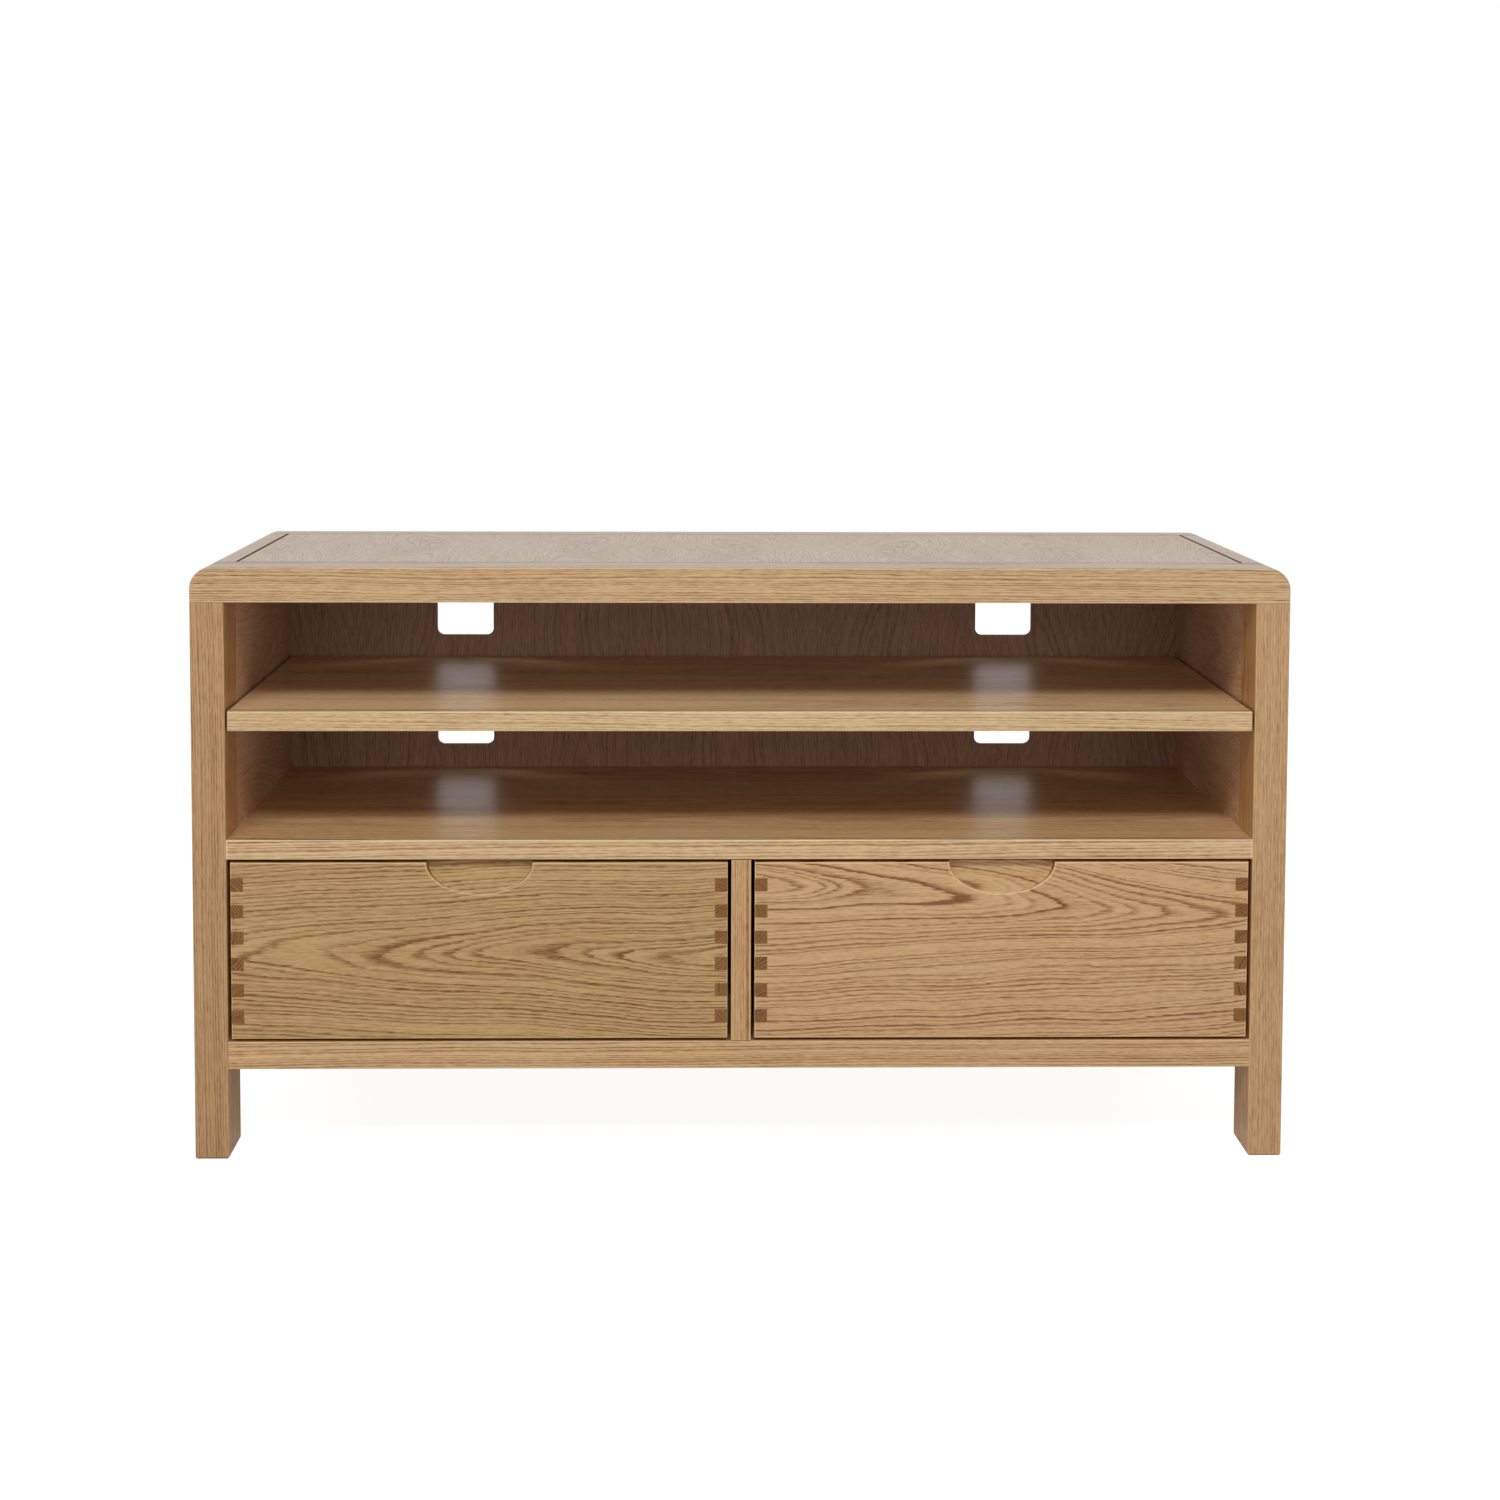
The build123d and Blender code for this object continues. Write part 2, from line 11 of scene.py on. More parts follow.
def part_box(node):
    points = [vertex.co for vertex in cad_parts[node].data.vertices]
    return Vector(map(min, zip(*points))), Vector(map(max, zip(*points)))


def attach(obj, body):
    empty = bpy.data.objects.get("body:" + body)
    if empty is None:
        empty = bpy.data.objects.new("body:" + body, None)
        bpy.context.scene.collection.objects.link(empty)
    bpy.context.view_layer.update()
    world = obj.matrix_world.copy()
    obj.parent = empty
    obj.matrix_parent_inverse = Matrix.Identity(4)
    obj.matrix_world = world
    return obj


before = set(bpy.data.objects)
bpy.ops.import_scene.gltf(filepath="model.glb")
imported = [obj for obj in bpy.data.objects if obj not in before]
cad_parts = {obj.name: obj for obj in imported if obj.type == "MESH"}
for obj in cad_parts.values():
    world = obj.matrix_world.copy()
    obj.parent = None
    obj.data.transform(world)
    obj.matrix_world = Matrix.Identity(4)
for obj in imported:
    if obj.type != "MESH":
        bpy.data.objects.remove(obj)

bl_info = {
    "name": "Oak media cabinet",
    "version": (1, 0, 0),
    "blender": (4, 5, 0),
    "location": "View3D > Sidebar > Cabinet",
    "description": "Finishes the boards of an oak media cabinet, fits its back screws and sets the stage",
    "category": "Object",
}

# Boards are measured in millimetres here, and Blender in metres
MM = 1000.0
AXES = "XYZ"
WHITE = (1.0, 1.0, 1.0, 1.0)
NO_TINT = (1.0, 1.0, 1.0)


def paint(red, green, blue):
    """A colour picked as screen values from 0 to 255, as Blender's linear red, green and blue."""
    def linear(value):
        value /= 255
        return value / 12.92 if value <= 0.04045 else ((value + 0.055) / 1.055) ** 2.4
    return (linear(red), linear(green), linear(blue))


class Board(NamedTuple):
    """How one board was sawn and finished, in millimetres. A tint multiplies the colour of the wood."""

    # The axis that its grain runs along, and the axis across its best face
    along: str
    across: str
    # The middle of the tree, across and then through the board, from the board's own middle
    heart: tuple
    # Picks the chance part of its figure
    seed: int
    # How fast the rings climb along the board, and how the heart drifts across it and through it
    slope: float = 0.01
    lean: float = 0.0
    dip: float = 0.0
    # How far the rings bend, and how far the heart sways
    wander: float = 5.0
    sway: float = 0.0
    # How far pores and chance break the rings up
    ragged: float = 1.0
    # Width of a veneer leaf, or 0 for solid wood
    leaf: float = 0.0
    # Width of a ring, and the strength of the rings
    spacing: float = 2.6
    figure: float = 1.0
    # Tint of the whole board
    tone: tuple = NO_TINT
    # Dark lines at joints, and painted shade in gaps and grooves: the axis and the level of each, and half
    # its width
    seams_and_gap_shade: tuple = ()
    # Half the width and the height of the scooped pull in a drawer front
    pull: tuple = ()
    # Painted shade on the faces that look up or down
    painted_top_shade: tuple = ()
    # How far the edges are painted pale, partly as rubbed wear and partly as a painted highlight, and how
    # dark the end grain is
    rubbed_and_highlit: float = 0.35
    ends: float = 0.55
    # A face with painted light or shade of its own: its axis, the way it looks along that axis, and the tint
    painted_lining: tuple = ()


# Levels above the floor, in millimetres like all the places of joints and screws
BOTTOM_RAIL_TOP = 120
FIXED_SHELF_BASE = 305.5
TOP_UNDERSIDE = 565
# Places from front to back, measured from the cabinet's middle
LIPPING_BACK = -212
FRONT_RAIL_BACK = -165
BACK_RAIL_FRONT = 185
# Places to both sides of the middle: the grooves in the top, and the ends of the loose shelf
GROOVE = 512.5
SHELF_END = 514

# The joint at the head of a post, and the painted light on the posts' faces that line the bays
POST_SEAM = (("Z", TOP_UNDERSIDE, 0.4),)
BACK_POST_TONE = (1.0, 0.95, 0.9)
POST_PAINTED_LIGHT = (1.27, 1.16, 0.98)
BACK_POST_PAINTED_LIGHT = (1.32, 1.42, 1.70)
POSTS = {
    "leg_front_left": Board("Z", "X", (-120, 40), 3, slope=0.006, wander=3, ragged=0.35, spacing=2.5,
                            figure=1.1, tone=(0.91, 0.80, 0.67), seams_and_gap_shade=POST_SEAM,
                            painted_lining=("X", 1, POST_PAINTED_LIGHT)),
    "leg_front_right": Board("Z", "X", (130, 35), 8, slope=-0.005, wander=3, ragged=0.35, spacing=2.4,
                             figure=0.65, tone=(1.02, 0.935, 0.79), seams_and_gap_shade=POST_SEAM,
                             painted_lining=("X", -1, POST_PAINTED_LIGHT)),
    "leg_back_left": Board("Z", "X", (110, -60), 13, slope=0.006, wander=3, ragged=0.4, figure=0.6,
                           tone=BACK_POST_TONE, seams_and_gap_shade=POST_SEAM, painted_lining=("X", 1, BACK_POST_PAINTED_LIGHT)),
    "leg_back_right": Board("Z", "X", (-120, -50), 19, slope=-0.006, wander=3, ragged=0.4, figure=0.6,
                            tone=BACK_POST_TONE, seams_and_gap_shade=POST_SEAM, painted_lining=("X", -1, BACK_POST_PAINTED_LIGHT)),
}
# The joints of the top behind the front rail and before the back rail, and painted shade in the groove at
# each end
RAIL_SEAMS = (("Y", FRONT_RAIL_BACK, 1.6), ("Y", BACK_RAIL_FRONT, 1.6))
TOP_SEAMS_AND_GROOVE_SHADE = RAIL_SEAMS + (("X", -GROOVE, 1.9), ("X", GROOVE, 1.9))
# Painted shade, a little cool, on the top's faces that look up or down; the whole top panel takes it as its
# tint
TOP_PAINTED_SHADE = (0.79, 0.84, 0.87)
TOP = {
    "top_rail_front": Board("X", "Z", (-140, 20), 5, slope=0.004, ragged=0.5, spacing=2.5, figure=1.3,
                            tone=(1.11, 1.10, 1.02), seams_and_gap_shade=RAIL_SEAMS, painted_top_shade=(0.68, 0.73, 0.83)),
    "top_rail_back": Board("X", "Z", (-130, -30), 11, slope=0.005, ragged=0.4, figure=0.7, seams_and_gap_shade=RAIL_SEAMS,
                           painted_top_shade=TOP_PAINTED_SHADE),
    "top_end_rail_left": Board("Y", "X", (90, -75), 17, ragged=0.5, figure=0.7, seams_and_gap_shade=TOP_SEAMS_AND_GROOVE_SHADE,
                               painted_top_shade=TOP_PAINTED_SHADE),
    "top_end_rail_right": Board("Y", "X", (-85, -80), 23, slope=-0.010, ragged=0.5, figure=0.7,
                                seams_and_gap_shade=TOP_SEAMS_AND_GROOVE_SHADE, painted_top_shade=TOP_PAINTED_SHADE),
    "top_panel": Board("Y", "X", (0, -34), 29, slope=0.07, wander=10, sway=30, leaf=171, tone=TOP_PAINTED_SHADE,
                       seams_and_gap_shade=TOP_SEAMS_AND_GROOVE_SHADE),
}
SIDE_TONE = (1.03, 0.96, 0.87)
# Painted light on the faces that line the bays: the sides' inner faces are made paler, and the back's inner
# face darker and cooler, standing in for the light deep in the bays
SIDE_PAINTED_LIGHT = (1.43, 1.52, 1.96)
BACK_PAINTED_BAY_LIGHT = (0.95, 0.89, 1.07)
PANELS = {
    "side_panel_left": Board("Y", "Z", (0, -36), 31, slope=0.05, wander=9, sway=26, leaf=158, figure=0.5,
                             tone=SIDE_TONE, painted_lining=("X", 1, SIDE_PAINTED_LIGHT)),
    "side_panel_right": Board("Y", "Z", (0, 36), 37, slope=-0.05, wander=9, sway=26, leaf=158, figure=0.5,
                              tone=SIDE_TONE, painted_lining=("X", -1, SIDE_PAINTED_LIGHT)),
    "back_panel": Board("Z", "X", (0, -30), 41, slope=0.04, wander=9, sway=24, leaf=176, figure=0.7,
                        tone=(1.0, 0.93, 0.84), painted_lining=("Y", -1, BACK_PAINTED_BAY_LIGHT)),
    "base_panel": Board("X", "Y", (0, -40), 43, slope=0.04, leaf=140),
}
# The joint behind a shelf's front edge, and painted shadow in the gaps at the ends of the loose shelf
SHELF_SEAM = (("Y", LIPPING_BACK, 0.9),)
SHELF_END_SHADE = (("X", -SHELF_END, 0.8), ("X", SHELF_END, 0.8))
SHELVES = {
    # The loose shelf's upward face is painted much paler, standing in for the light that falls on it
    "adjustable_shelf": Board("X", "Y", (30, -60), 47, slope=0.018, wander=7, leaf=143, figure=0.8,
                              tone=(0.92, 0.95, 0.95), seams_and_gap_shade=SHELF_SEAM + SHELF_END_SHADE,
                              painted_lining=("Z", 1, (1.92, 1.92, 1.86))),
    "adjustable_shelf_lipping": Board("X", "Z", (-50, 14), 53, slope=0.008, wander=3, ragged=0.3, spacing=2.9,
                                      tone=(1.26, 1.32, 1.28), seams_and_gap_shade=SHELF_END_SHADE, rubbed_and_highlit=0.6),
    # The fixed shelf's strong tint is painted light: the whole board is made paler, so that its upward face
    # in the lower bay looks lit
    "fixed_shelf": Board("X", "Y", (-25, -55), 59, slope=-0.02, wander=7, leaf=143, figure=0.8,
                         tone=(1.50, 1.48, 1.32), seams_and_gap_shade=SHELF_SEAM),
    "fixed_shelf_lipping": Board("X", "Z", (-45, 12), 61, slope=-0.010, wander=3, ragged=0.3, spacing=3.2,
                                 figure=1.3, tone=(1.26, 1.29, 1.24), rubbed_and_highlit=0.6),
}
DIVIDER_SEAMS = (("Z", BOTTOM_RAIL_TOP, 0.7), ("Z", FIXED_SHELF_BASE, 0.7))
RAILS = {
    "bottom_rail_front": Board("X", "Z", (90, 20), 67, slope=0.006, wander=4, ragged=0.4, spacing=2.8,
                               figure=1.25, tone=(1.18, 1.13, 1.01)),
    "bottom_rail_back": Board("X", "Z", (-60, -40), 71),
    "drawer_divider": Board("Z", "Y", (0, 40), 73, slope=0.03, leaf=150),
    "divider_lipping": Board("Z", "X", (-80, 30), 79, slope=0.008, wander=3, ragged=0.4, figure=1.2,
                             tone=(1.14, 1.04, 0.885), seams_and_gap_shade=DIVIDER_SEAMS),
}
PULL = (53, 32)
DRAWERS = {
    "drawer_front_left": Board("X", "Z", (-4, 13), 95, slope=-0.02, dip=-0.061, wander=6, sway=6, spacing=3.6,
                               figure=1.4, tone=(0.955, 0.89, 0.68), pull=PULL, rubbed_and_highlit=0.8),
    "drawer_front_right": Board("X", "Z", (53, 6), 89, slope=0.09, lean=-0.05, dip=0.01, wander=11, sway=8,
                                spacing=4.2, figure=1.35, tone=(1.12, 1.04, 0.91), pull=PULL, rubbed_and_highlit=0.8),
    "drawer_back_left": Board("X", "Z", (70, 40), 97, slope=0.012),
    "drawer_back_right": Board("X", "Z", (-75, 45), 101, slope=-0.012),
    "drawer_bottom_left": Board("X", "Y", (0, -45), 103, slope=0.04, leaf=150),
    "drawer_bottom_right": Board("X", "Y", (0, -45), 107, slope=-0.04, leaf=150),
    "drawer_side_left_inner": Board("Y", "Z", (-40, 34), 109, slope=0.010, ends=1.0),
    "drawer_side_left_outer": Board("Y", "Z", (25, -38), 113, slope=-0.010, ends=1.0),
    "drawer_side_right_inner": Board("Y", "Z", (35, -30), 127, slope=0.012, ends=1.0),
    "drawer_side_right_outer": Board("Y", "Z", (-30, 40), 131, slope=-0.012, ends=1.0),
}
BEECH_PARTS = ("drawer_runner", "drawer_guide", "drawer_stops")
RUNNERS = [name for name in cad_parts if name.startswith(BEECH_PARTS)]

# Where the screws that hold the back panel go, across it and up: down both edges, along the bottom and top
# rails, along the fixed shelf, and into the divider
EDGE_SCREW = 521.8
EDGE_SCREW_LEVELS = (150, 340, 530)
RAIL_SCREWS = (-400, -135, 135, 400)
RAIL_SCREW_LEVELS = (107, 569.8)
SHELF_SCREWS = (-260, 0, 260)
SHELF_SCREW_LEVEL = 315.5
DIVIDER_SCREW_LEVEL = 212.0
SCREW_PLACES = (
    [(side * EDGE_SCREW, level) for side in (-1, 1) for level in EDGE_SCREW_LEVELS]
    + [(across, level) for across in RAIL_SCREWS for level in RAIL_SCREW_LEVELS]
    + [(across, SHELF_SCREW_LEVEL) for across in SHELF_SCREWS]
    + [(0, DIVIDER_SCREW_LEVEL)]
)
# A screw head: its sides, how its dome narrows and rises, as shares of its radius and height, the cross
# recess, as shares of the radius and height, and the turn from one screw to the next, in radians
HEAD_SIDES = 24
DOME = ((0.96, 0.45), (0.80, 0.40), (0.62, 0.15))
RECESS_ARM = 0.12
RECESS_REACH = 0.50
RECESS_DEPTH = 0.85
SCREW_TURN = 2.4
# How near, in metres, a corner has to be to a cut to lie on it, and a face to the head's top to be part of it
CUT_TOLERANCE = 1e-7
LEVEL_TOLERANCE = 1e-6

# Sizes of the marks in oak, in millimetres across, along and through a board
WANDER_SIZE = (70.0, 300.0, 70.0)
RIPPLE_SIZE = (14.0, 60.0, 14.0)
FEATHER_SIZE = (0.9, 15.0, 0.9)
FADING_SIZE = (24.0, 130.0, 24.0)
FIBRE_SIZE = (1.6, 42.0, 1.6)
FLECK_SIZE = (1.3, 11.0, 1.3)
PATCH_SIZE = (60.0, 330.0, 60.0)
# The length of a sway of the heart, and how far one veneer leaf is shifted along the next
SWAY_LENGTH = 230.0
LEAF_SHIFT = 23.0
# How far ripples bend a ring; over what distance the rings change in width, and by how many rings; and
# over what distance they change in tone
RIPPLE_DEPTH = 1.3
RING_CHANGE_SIZE = 11.0
RING_CHANGE = 1.1
RING_TONE_SIZE = 7.0
# The parts of a ring over which its dark early wood starts and stops
EARLY_START = (0.0, 0.08)
EARLY_STOP = (0.12, 0.56)
# The strength of the rings: its middle, how far it changes from ring to ring and from place to place, its
# least, and what end grain adds
RING_STRENGTH = 0.70
RING_CHANCE = 0.9
RING_FADING = 0.6
RING_LEAST = 0.12
END_FIGURE = 0.9
# How strong the noise is that counts as a pore
PORE_SPAN = (0.10, 0.55)
# How much each mark darkens oak, where 0 is the light wood and 1 the dark
GROUND_SHADE = 0.135
RING_SHADE = 0.56
PORE_SHADE = 0.14
EARLY_PORE_SHADE = 0.26
RING_TONE_SHADE = 0.22
FIBRE_SHADE = 0.42
FLECK_SHADE = 0.48
PATCH_SHADE = 0.10
# The warm patches: how far their share of the wood changes, its middle, and how strong they are
WARM_CHANGE = 0.6
WARM_SHARE = 0.3
WARM_STRENGTH = 0.35
# How much of the pale edge, rubbed wear and painted highlight, is lost on end grain, and how much of it the
# pull's rim has as a painted highlight
END_RUBBING_AND_HIGHLIGHT_LOST = 0.9
RIM_PAINTED_HIGHLIGHT = 0.7
# How strong a seam's line is, and its colour as a share of the dark wood; the same line paints shade in the
# top's grooves and the loose shelf's end gaps
SEAM_STRENGTH = 0.75
SEAM_TINT = (0.3, 0.3, 0.3)
# What each mark adds to the roughness of oak
PORE_ROUGHNESS = 0.10
END_ROUGHNESS = 0.18
PATCH_ROUGHNESS = 0.03
RUBBED_ROUGHNESS = 0.05
HOLLOW_ROUGHNESS = 0.35
SEAM_ROUGHNESS = 0.5
# How far pores and early wood lie below the surface, as shares of the pore depth
PORE_SINK = 0.7
EARLY_SINK = 0.3
OAK_BUMP = 0.35
OAK_SPECULAR = 0.4
# Distances in millimetres over which marks fade: the pale edge, worn and highlit, from an arris, the pull's
# rim from its outline, its hollow inside that outline, and the depth at which the hollow starts
ARRIS_SPAN = (0.3, 1.9)
RIM_SPAN = (0.4, 2.0)
HOLLOW_SPAN = (-2.0, 0.0)
HOLLOW_DEPTH_SPAN = (0.8, 2.0)
# A seam's line fades over these shares of half its width
SEAM_SPAN = (0.8, 1.1)
# How squarely a face looks along an axis where its tint starts and is full: the end grain's tint, and the
# painted shade or light on upward faces and on faces lining the bays
END_SPAN = (0.55, 0.95)
PAINTED_TOP_SPAN = (0.7, 0.95)
PAINTED_LINING_SPAN = (0.6, 0.9)

# How far one step of a seed moves the noise along its axes, so that no two boards have the same figure
SEED_STEPS = (1.37, 2.11, 0.73)
LINE_SEED_STEP = 3.1

# Beech: the sizes of its marks in millimetres, their seeds, how strong the noise is that counts as a fleck,
# how much each mark darkens the wood, and how much rubbing lightens it
BEECH_FLECK_SIZE = (0.8, 5.0, 0.8)
BEECH_STREAK_SIZE = (3.0, 90.0, 3.0)
BEECH_FLECK_SEED = 7
BEECH_STREAK_SEED = 11
BEECH_FLECK_SPAN = (0.20, 0.60)
BEECH_GROUND_SHADE = 0.22
BEECH_FLECK_SHADE = 0.5
BEECH_STREAK_SHADE = 0.35
BEECH_RUBBED_LIGHT = 0.12
BEECH_FLECK_ROUGHNESS = 0.12
BEECH_BUMP = 0.25

# Steel: the sizes of its marks in millimetres, their seeds, and how much each mark dulls the plating
DULLING_SIZE = (1.2, 1.2, 1.2)
TURNING_SIZE = (0.12, 2.0, 0.12)
DULLING_SEED = 3
TURNING_SEED = 5
STEEL_GROUND_SHADE = 0.3
DULLING_SHADE = 0.35
TURNING_SHADE = 0.15
DULL_TINT = (0.7, 0.69, 0.66)
DULLING_ROUGHNESS = 0.12
STEEL_BUMP = 0.15

# Where the lamps stand and what they point at, and their widths, all in metres; a flatness is the height of a
# lamp as a share of its width
LAMP_TARGET = (0.0, 0.0, 0.35)
KEY_PLACE = (-0.4, -4.0, 3.6)
KEY_FLATNESS = 0.28
FILL_PLACE = (0.0, -4.6, 1.3)
FILL_SIZE = 4.0
FILL_FLATNESS = 0.3
LEFT_PLACE = (-3.6, 2.6, 2.4)
RIGHT_PLACE = (3.6, 2.6, 2.4)
SIDE_LAMP_SIZE = 1.6
# How many squares the floor has along each side, and the width of the camera's sensor in millimetres
FLOOR_SQUARES = 8
SENSOR_WIDTH = 36.0


class OakFinish(PropertyGroup):
    """Lacquered oak."""

    light: FloatVectorProperty(
        name="Light wood", description="Colour of the late wood between the rings", subtype="COLOR",
        min=0, max=1, default=paint(205, 173, 135))
    dark: FloatVectorProperty(
        name="Dark wood", description="Colour of the open-pored early wood", subtype="COLOR",
        min=0, max=1, default=paint(126, 82, 43))
    warm: FloatVectorProperty(
        name="Warm patches", description="Tint of the warmer patches of a board", subtype="COLOR",
        min=0, max=1, default=paint(255, 236, 214))
    end: FloatVectorProperty(
        name="End grain", description="Tint of a cut across the grain", subtype="COLOR",
        min=0, max=1, default=paint(184, 151, 102))
    # This pale colour is also a painted highlight on the eased arrises and the pull's rim, where the rounded
    # edges would catch the lamps
    worn_highlight: FloatVectorProperty(
        name="Rubbed edge", description="Colour of an edge that was eased and rubbed down", subtype="COLOR",
        min=0, max=1, default=paint(234, 204, 162))
    # Painted shade: this tint darkens the pull's hollow, standing in for shade in the recess
    painted_hollow_shade: FloatVectorProperty(
        name="Handled", description="Tint of the pull, where hands have darkened it", subtype="COLOR",
        min=0, max=1, default=(0.95, 0.97, 0.95))
    feather: FloatProperty(
        name="Feather", description="How ragged the pores make a ring's edge", unit="LENGTH", default=0.0011)
    pore_width: FloatProperty(
        name="Pore width", description="Width of the fine dark pores", unit="LENGTH", default=0.0007)
    pore_length: FloatProperty(
        name="Pore length", description="Length of the fine dark pores", unit="LENGTH", default=0.016)
    pore_depth: FloatProperty(
        name="Pore depth", description="Depth of a pore below the lacquer", unit="LENGTH", default=0.00012)
    roughness: FloatProperty(
        name="Roughness", description="Roughness of the satin lacquer", subtype="FACTOR",
        min=0, max=1, default=0.34)


class BeechFinish(PropertyGroup):
    """Waxed beech, for the parts that the drawers slide on."""

    light: FloatVectorProperty(
        name="Light wood", description="Colour between the flecks", subtype="COLOR",
        min=0, max=1, default=paint(206, 172, 138))
    dark: FloatVectorProperty(
        name="Flecks", description="Colour of the short flecks", subtype="COLOR",
        min=0, max=1, default=paint(168, 126, 92))
    fleck_depth: FloatProperty(
        name="Fleck depth", description="Depth of a fleck below the surface", unit="LENGTH", default=0.0001)
    roughness: FloatProperty(
        name="Roughness", description="Roughness of the waxed face", subtype="FACTOR",
        min=0, max=1, default=0.48)


class SteelFinish(PropertyGroup):
    """Plated steel, for the shelf pins and screws."""

    colour: FloatVectorProperty(
        name="Plating", description="Colour of the plating", subtype="COLOR",
        min=0, max=1, default=paint(190, 188, 182))
    turning_depth: FloatProperty(
        name="Turning marks", description="Depth of the fine marks of the lathe", unit="LENGTH",
        default=0.00003)
    roughness: FloatProperty(
        name="Roughness", description="Roughness of the plating", subtype="FACTOR",
        min=0, max=1, default=0.32)
    head_width: FloatProperty(
        name="Screw head", description="Width of a back-panel screw's head", unit="LENGTH", default=0.0072)
    head_height: FloatProperty(
        name="Head height", description="How far a screw's head stands above the panel", unit="LENGTH",
        default=0.0008)


class StageSettings(PropertyGroup):
    """Floor, lamps and camera."""

    floor: FloatVectorProperty(
        name="Floor", description="Colour of the floor", subtype="COLOR",
        min=0, max=1, default=(0.8, 0.8, 0.8))
    floor_glow: FloatProperty(
        name="Floor glow", description="How much of the floor's white the camera sees without lamps",
        subtype="FACTOR", min=0, max=1, default=0.60)
    floor_white: FloatProperty(
        name="Floor white", description="Strength of the floor's own white", default=1.53)
    floor_mirrored: FloatProperty(
        name="Mirrored floor", description="How much of the floor's white shows in a reflection",
        subtype="FACTOR", min=0, max=1, default=0.12)
    floor_size: FloatProperty(
        name="Floor size", description="Width of the floor", unit="LENGTH", default=60.0)
    ambient: FloatProperty(
        name="Room light", description="Light that comes from all sides", default=0.28)
    key_power: FloatProperty(
        name="Key lamp", description="Power of the lamp in front", unit="POWER", default=121.0)
    key_size: FloatProperty(
        name="Key size", description="Width of the lamp in front", unit="LENGTH", default=3.4)
    fill_power: FloatProperty(
        name="Fill lamp", description="Power of the weak lamp behind the camera", unit="POWER", default=18.0)
    rim_power: FloatProperty(
        name="Side lamps", description="Power of each lamp behind the sides", unit="POWER", default=40.0)
    camera_place: FloatVectorProperty(
        name="Camera", description="Where the camera stands", subtype="TRANSLATION",
        default=(-0.05066, -2.89056, 0.85130))
    yaw: FloatProperty(
        name="Yaw", description="How far the camera turns to the right", unit="ROTATION", default=0.02180)
    pitch: FloatProperty(
        name="Pitch", description="How far the camera looks down", unit="ROTATION", default=0.07238)
    roll: FloatProperty(
        name="Roll", description="How far the camera tips clockwise", unit="ROTATION", default=-0.00345)
    lens: FloatProperty(
        name="Lens", description="Focal length in millimetres", unit="CAMERA", default=64.425)
    rise: FloatProperty(
        name="Lens shift", description="Shift of the frame, upwards if positive", default=-0.16)


class CabinetSettings(PropertyGroup):
    """All the settings of the cabinet's look."""

    oak: PointerProperty(type=OakFinish)
    beech: PointerProperty(type=BeechFinish)
    steel: PointerProperty(type=SteelFinish)
    stage: PointerProperty(type=StageSettings)


class Number:
    """A shader value that takes part in Python sums; each step adds its Math node."""

    def __init__(self, nodes, socket):
        self.nodes = nodes
        self.socket = socket

    def __add__(self, other):
        return self.nodes.maths("ADD", self, other)

    __radd__ = __add__

    def __sub__(self, other):
        return self.nodes.maths("SUBTRACT", self, other)

    def __rsub__(self, other):
        return self.nodes.maths("SUBTRACT", other, self)

    def __mul__(self, other):
        return self.nodes.maths("MULTIPLY", self, other)

    __rmul__ = __mul__

    def __truediv__(self, other):
        return self.nodes.maths("DIVIDE", self, other)

    def __rtruediv__(self, other):
        return self.nodes.maths("DIVIDE", other, self)

    def __neg__(self):
        return self.nodes.maths("MULTIPLY", self, -1.0)

    def __abs__(self):
        return self.nodes.maths("ABSOLUTE", self)

    def root(self):
        """The square root."""
        return self.nodes.maths("SQRT", self)

    def floor(self):
        """The whole number below."""
        return self.nodes.maths("FLOOR", self)

    def rest(self):
        """What is left above the whole number below."""
        return self.nodes.maths("FRACT", self)

    def least(self, other):
        """The smaller of two values."""
        return self.nodes.maths("MINIMUM", self, other)

    def most(self, other):
        """The larger of two values."""
        return self.nodes.maths("MAXIMUM", self, other)

    def share(self):
        """The value, held between 0 and 1."""
        return self.most(0.0).least(1.0)

    def step(self, low, high):
        """A soft step from 0 at low to 1 at high."""
        node = self.nodes.add(
            "ShaderNodeMapRange",
            {"interpolation_type": "SMOOTHSTEP"},
            {"Value": self, "From Min": low, "From Max": high, "To Min": 0.0, "To Max": 1.0},
        )
        return Number(self.nodes, node.outputs["Result"])


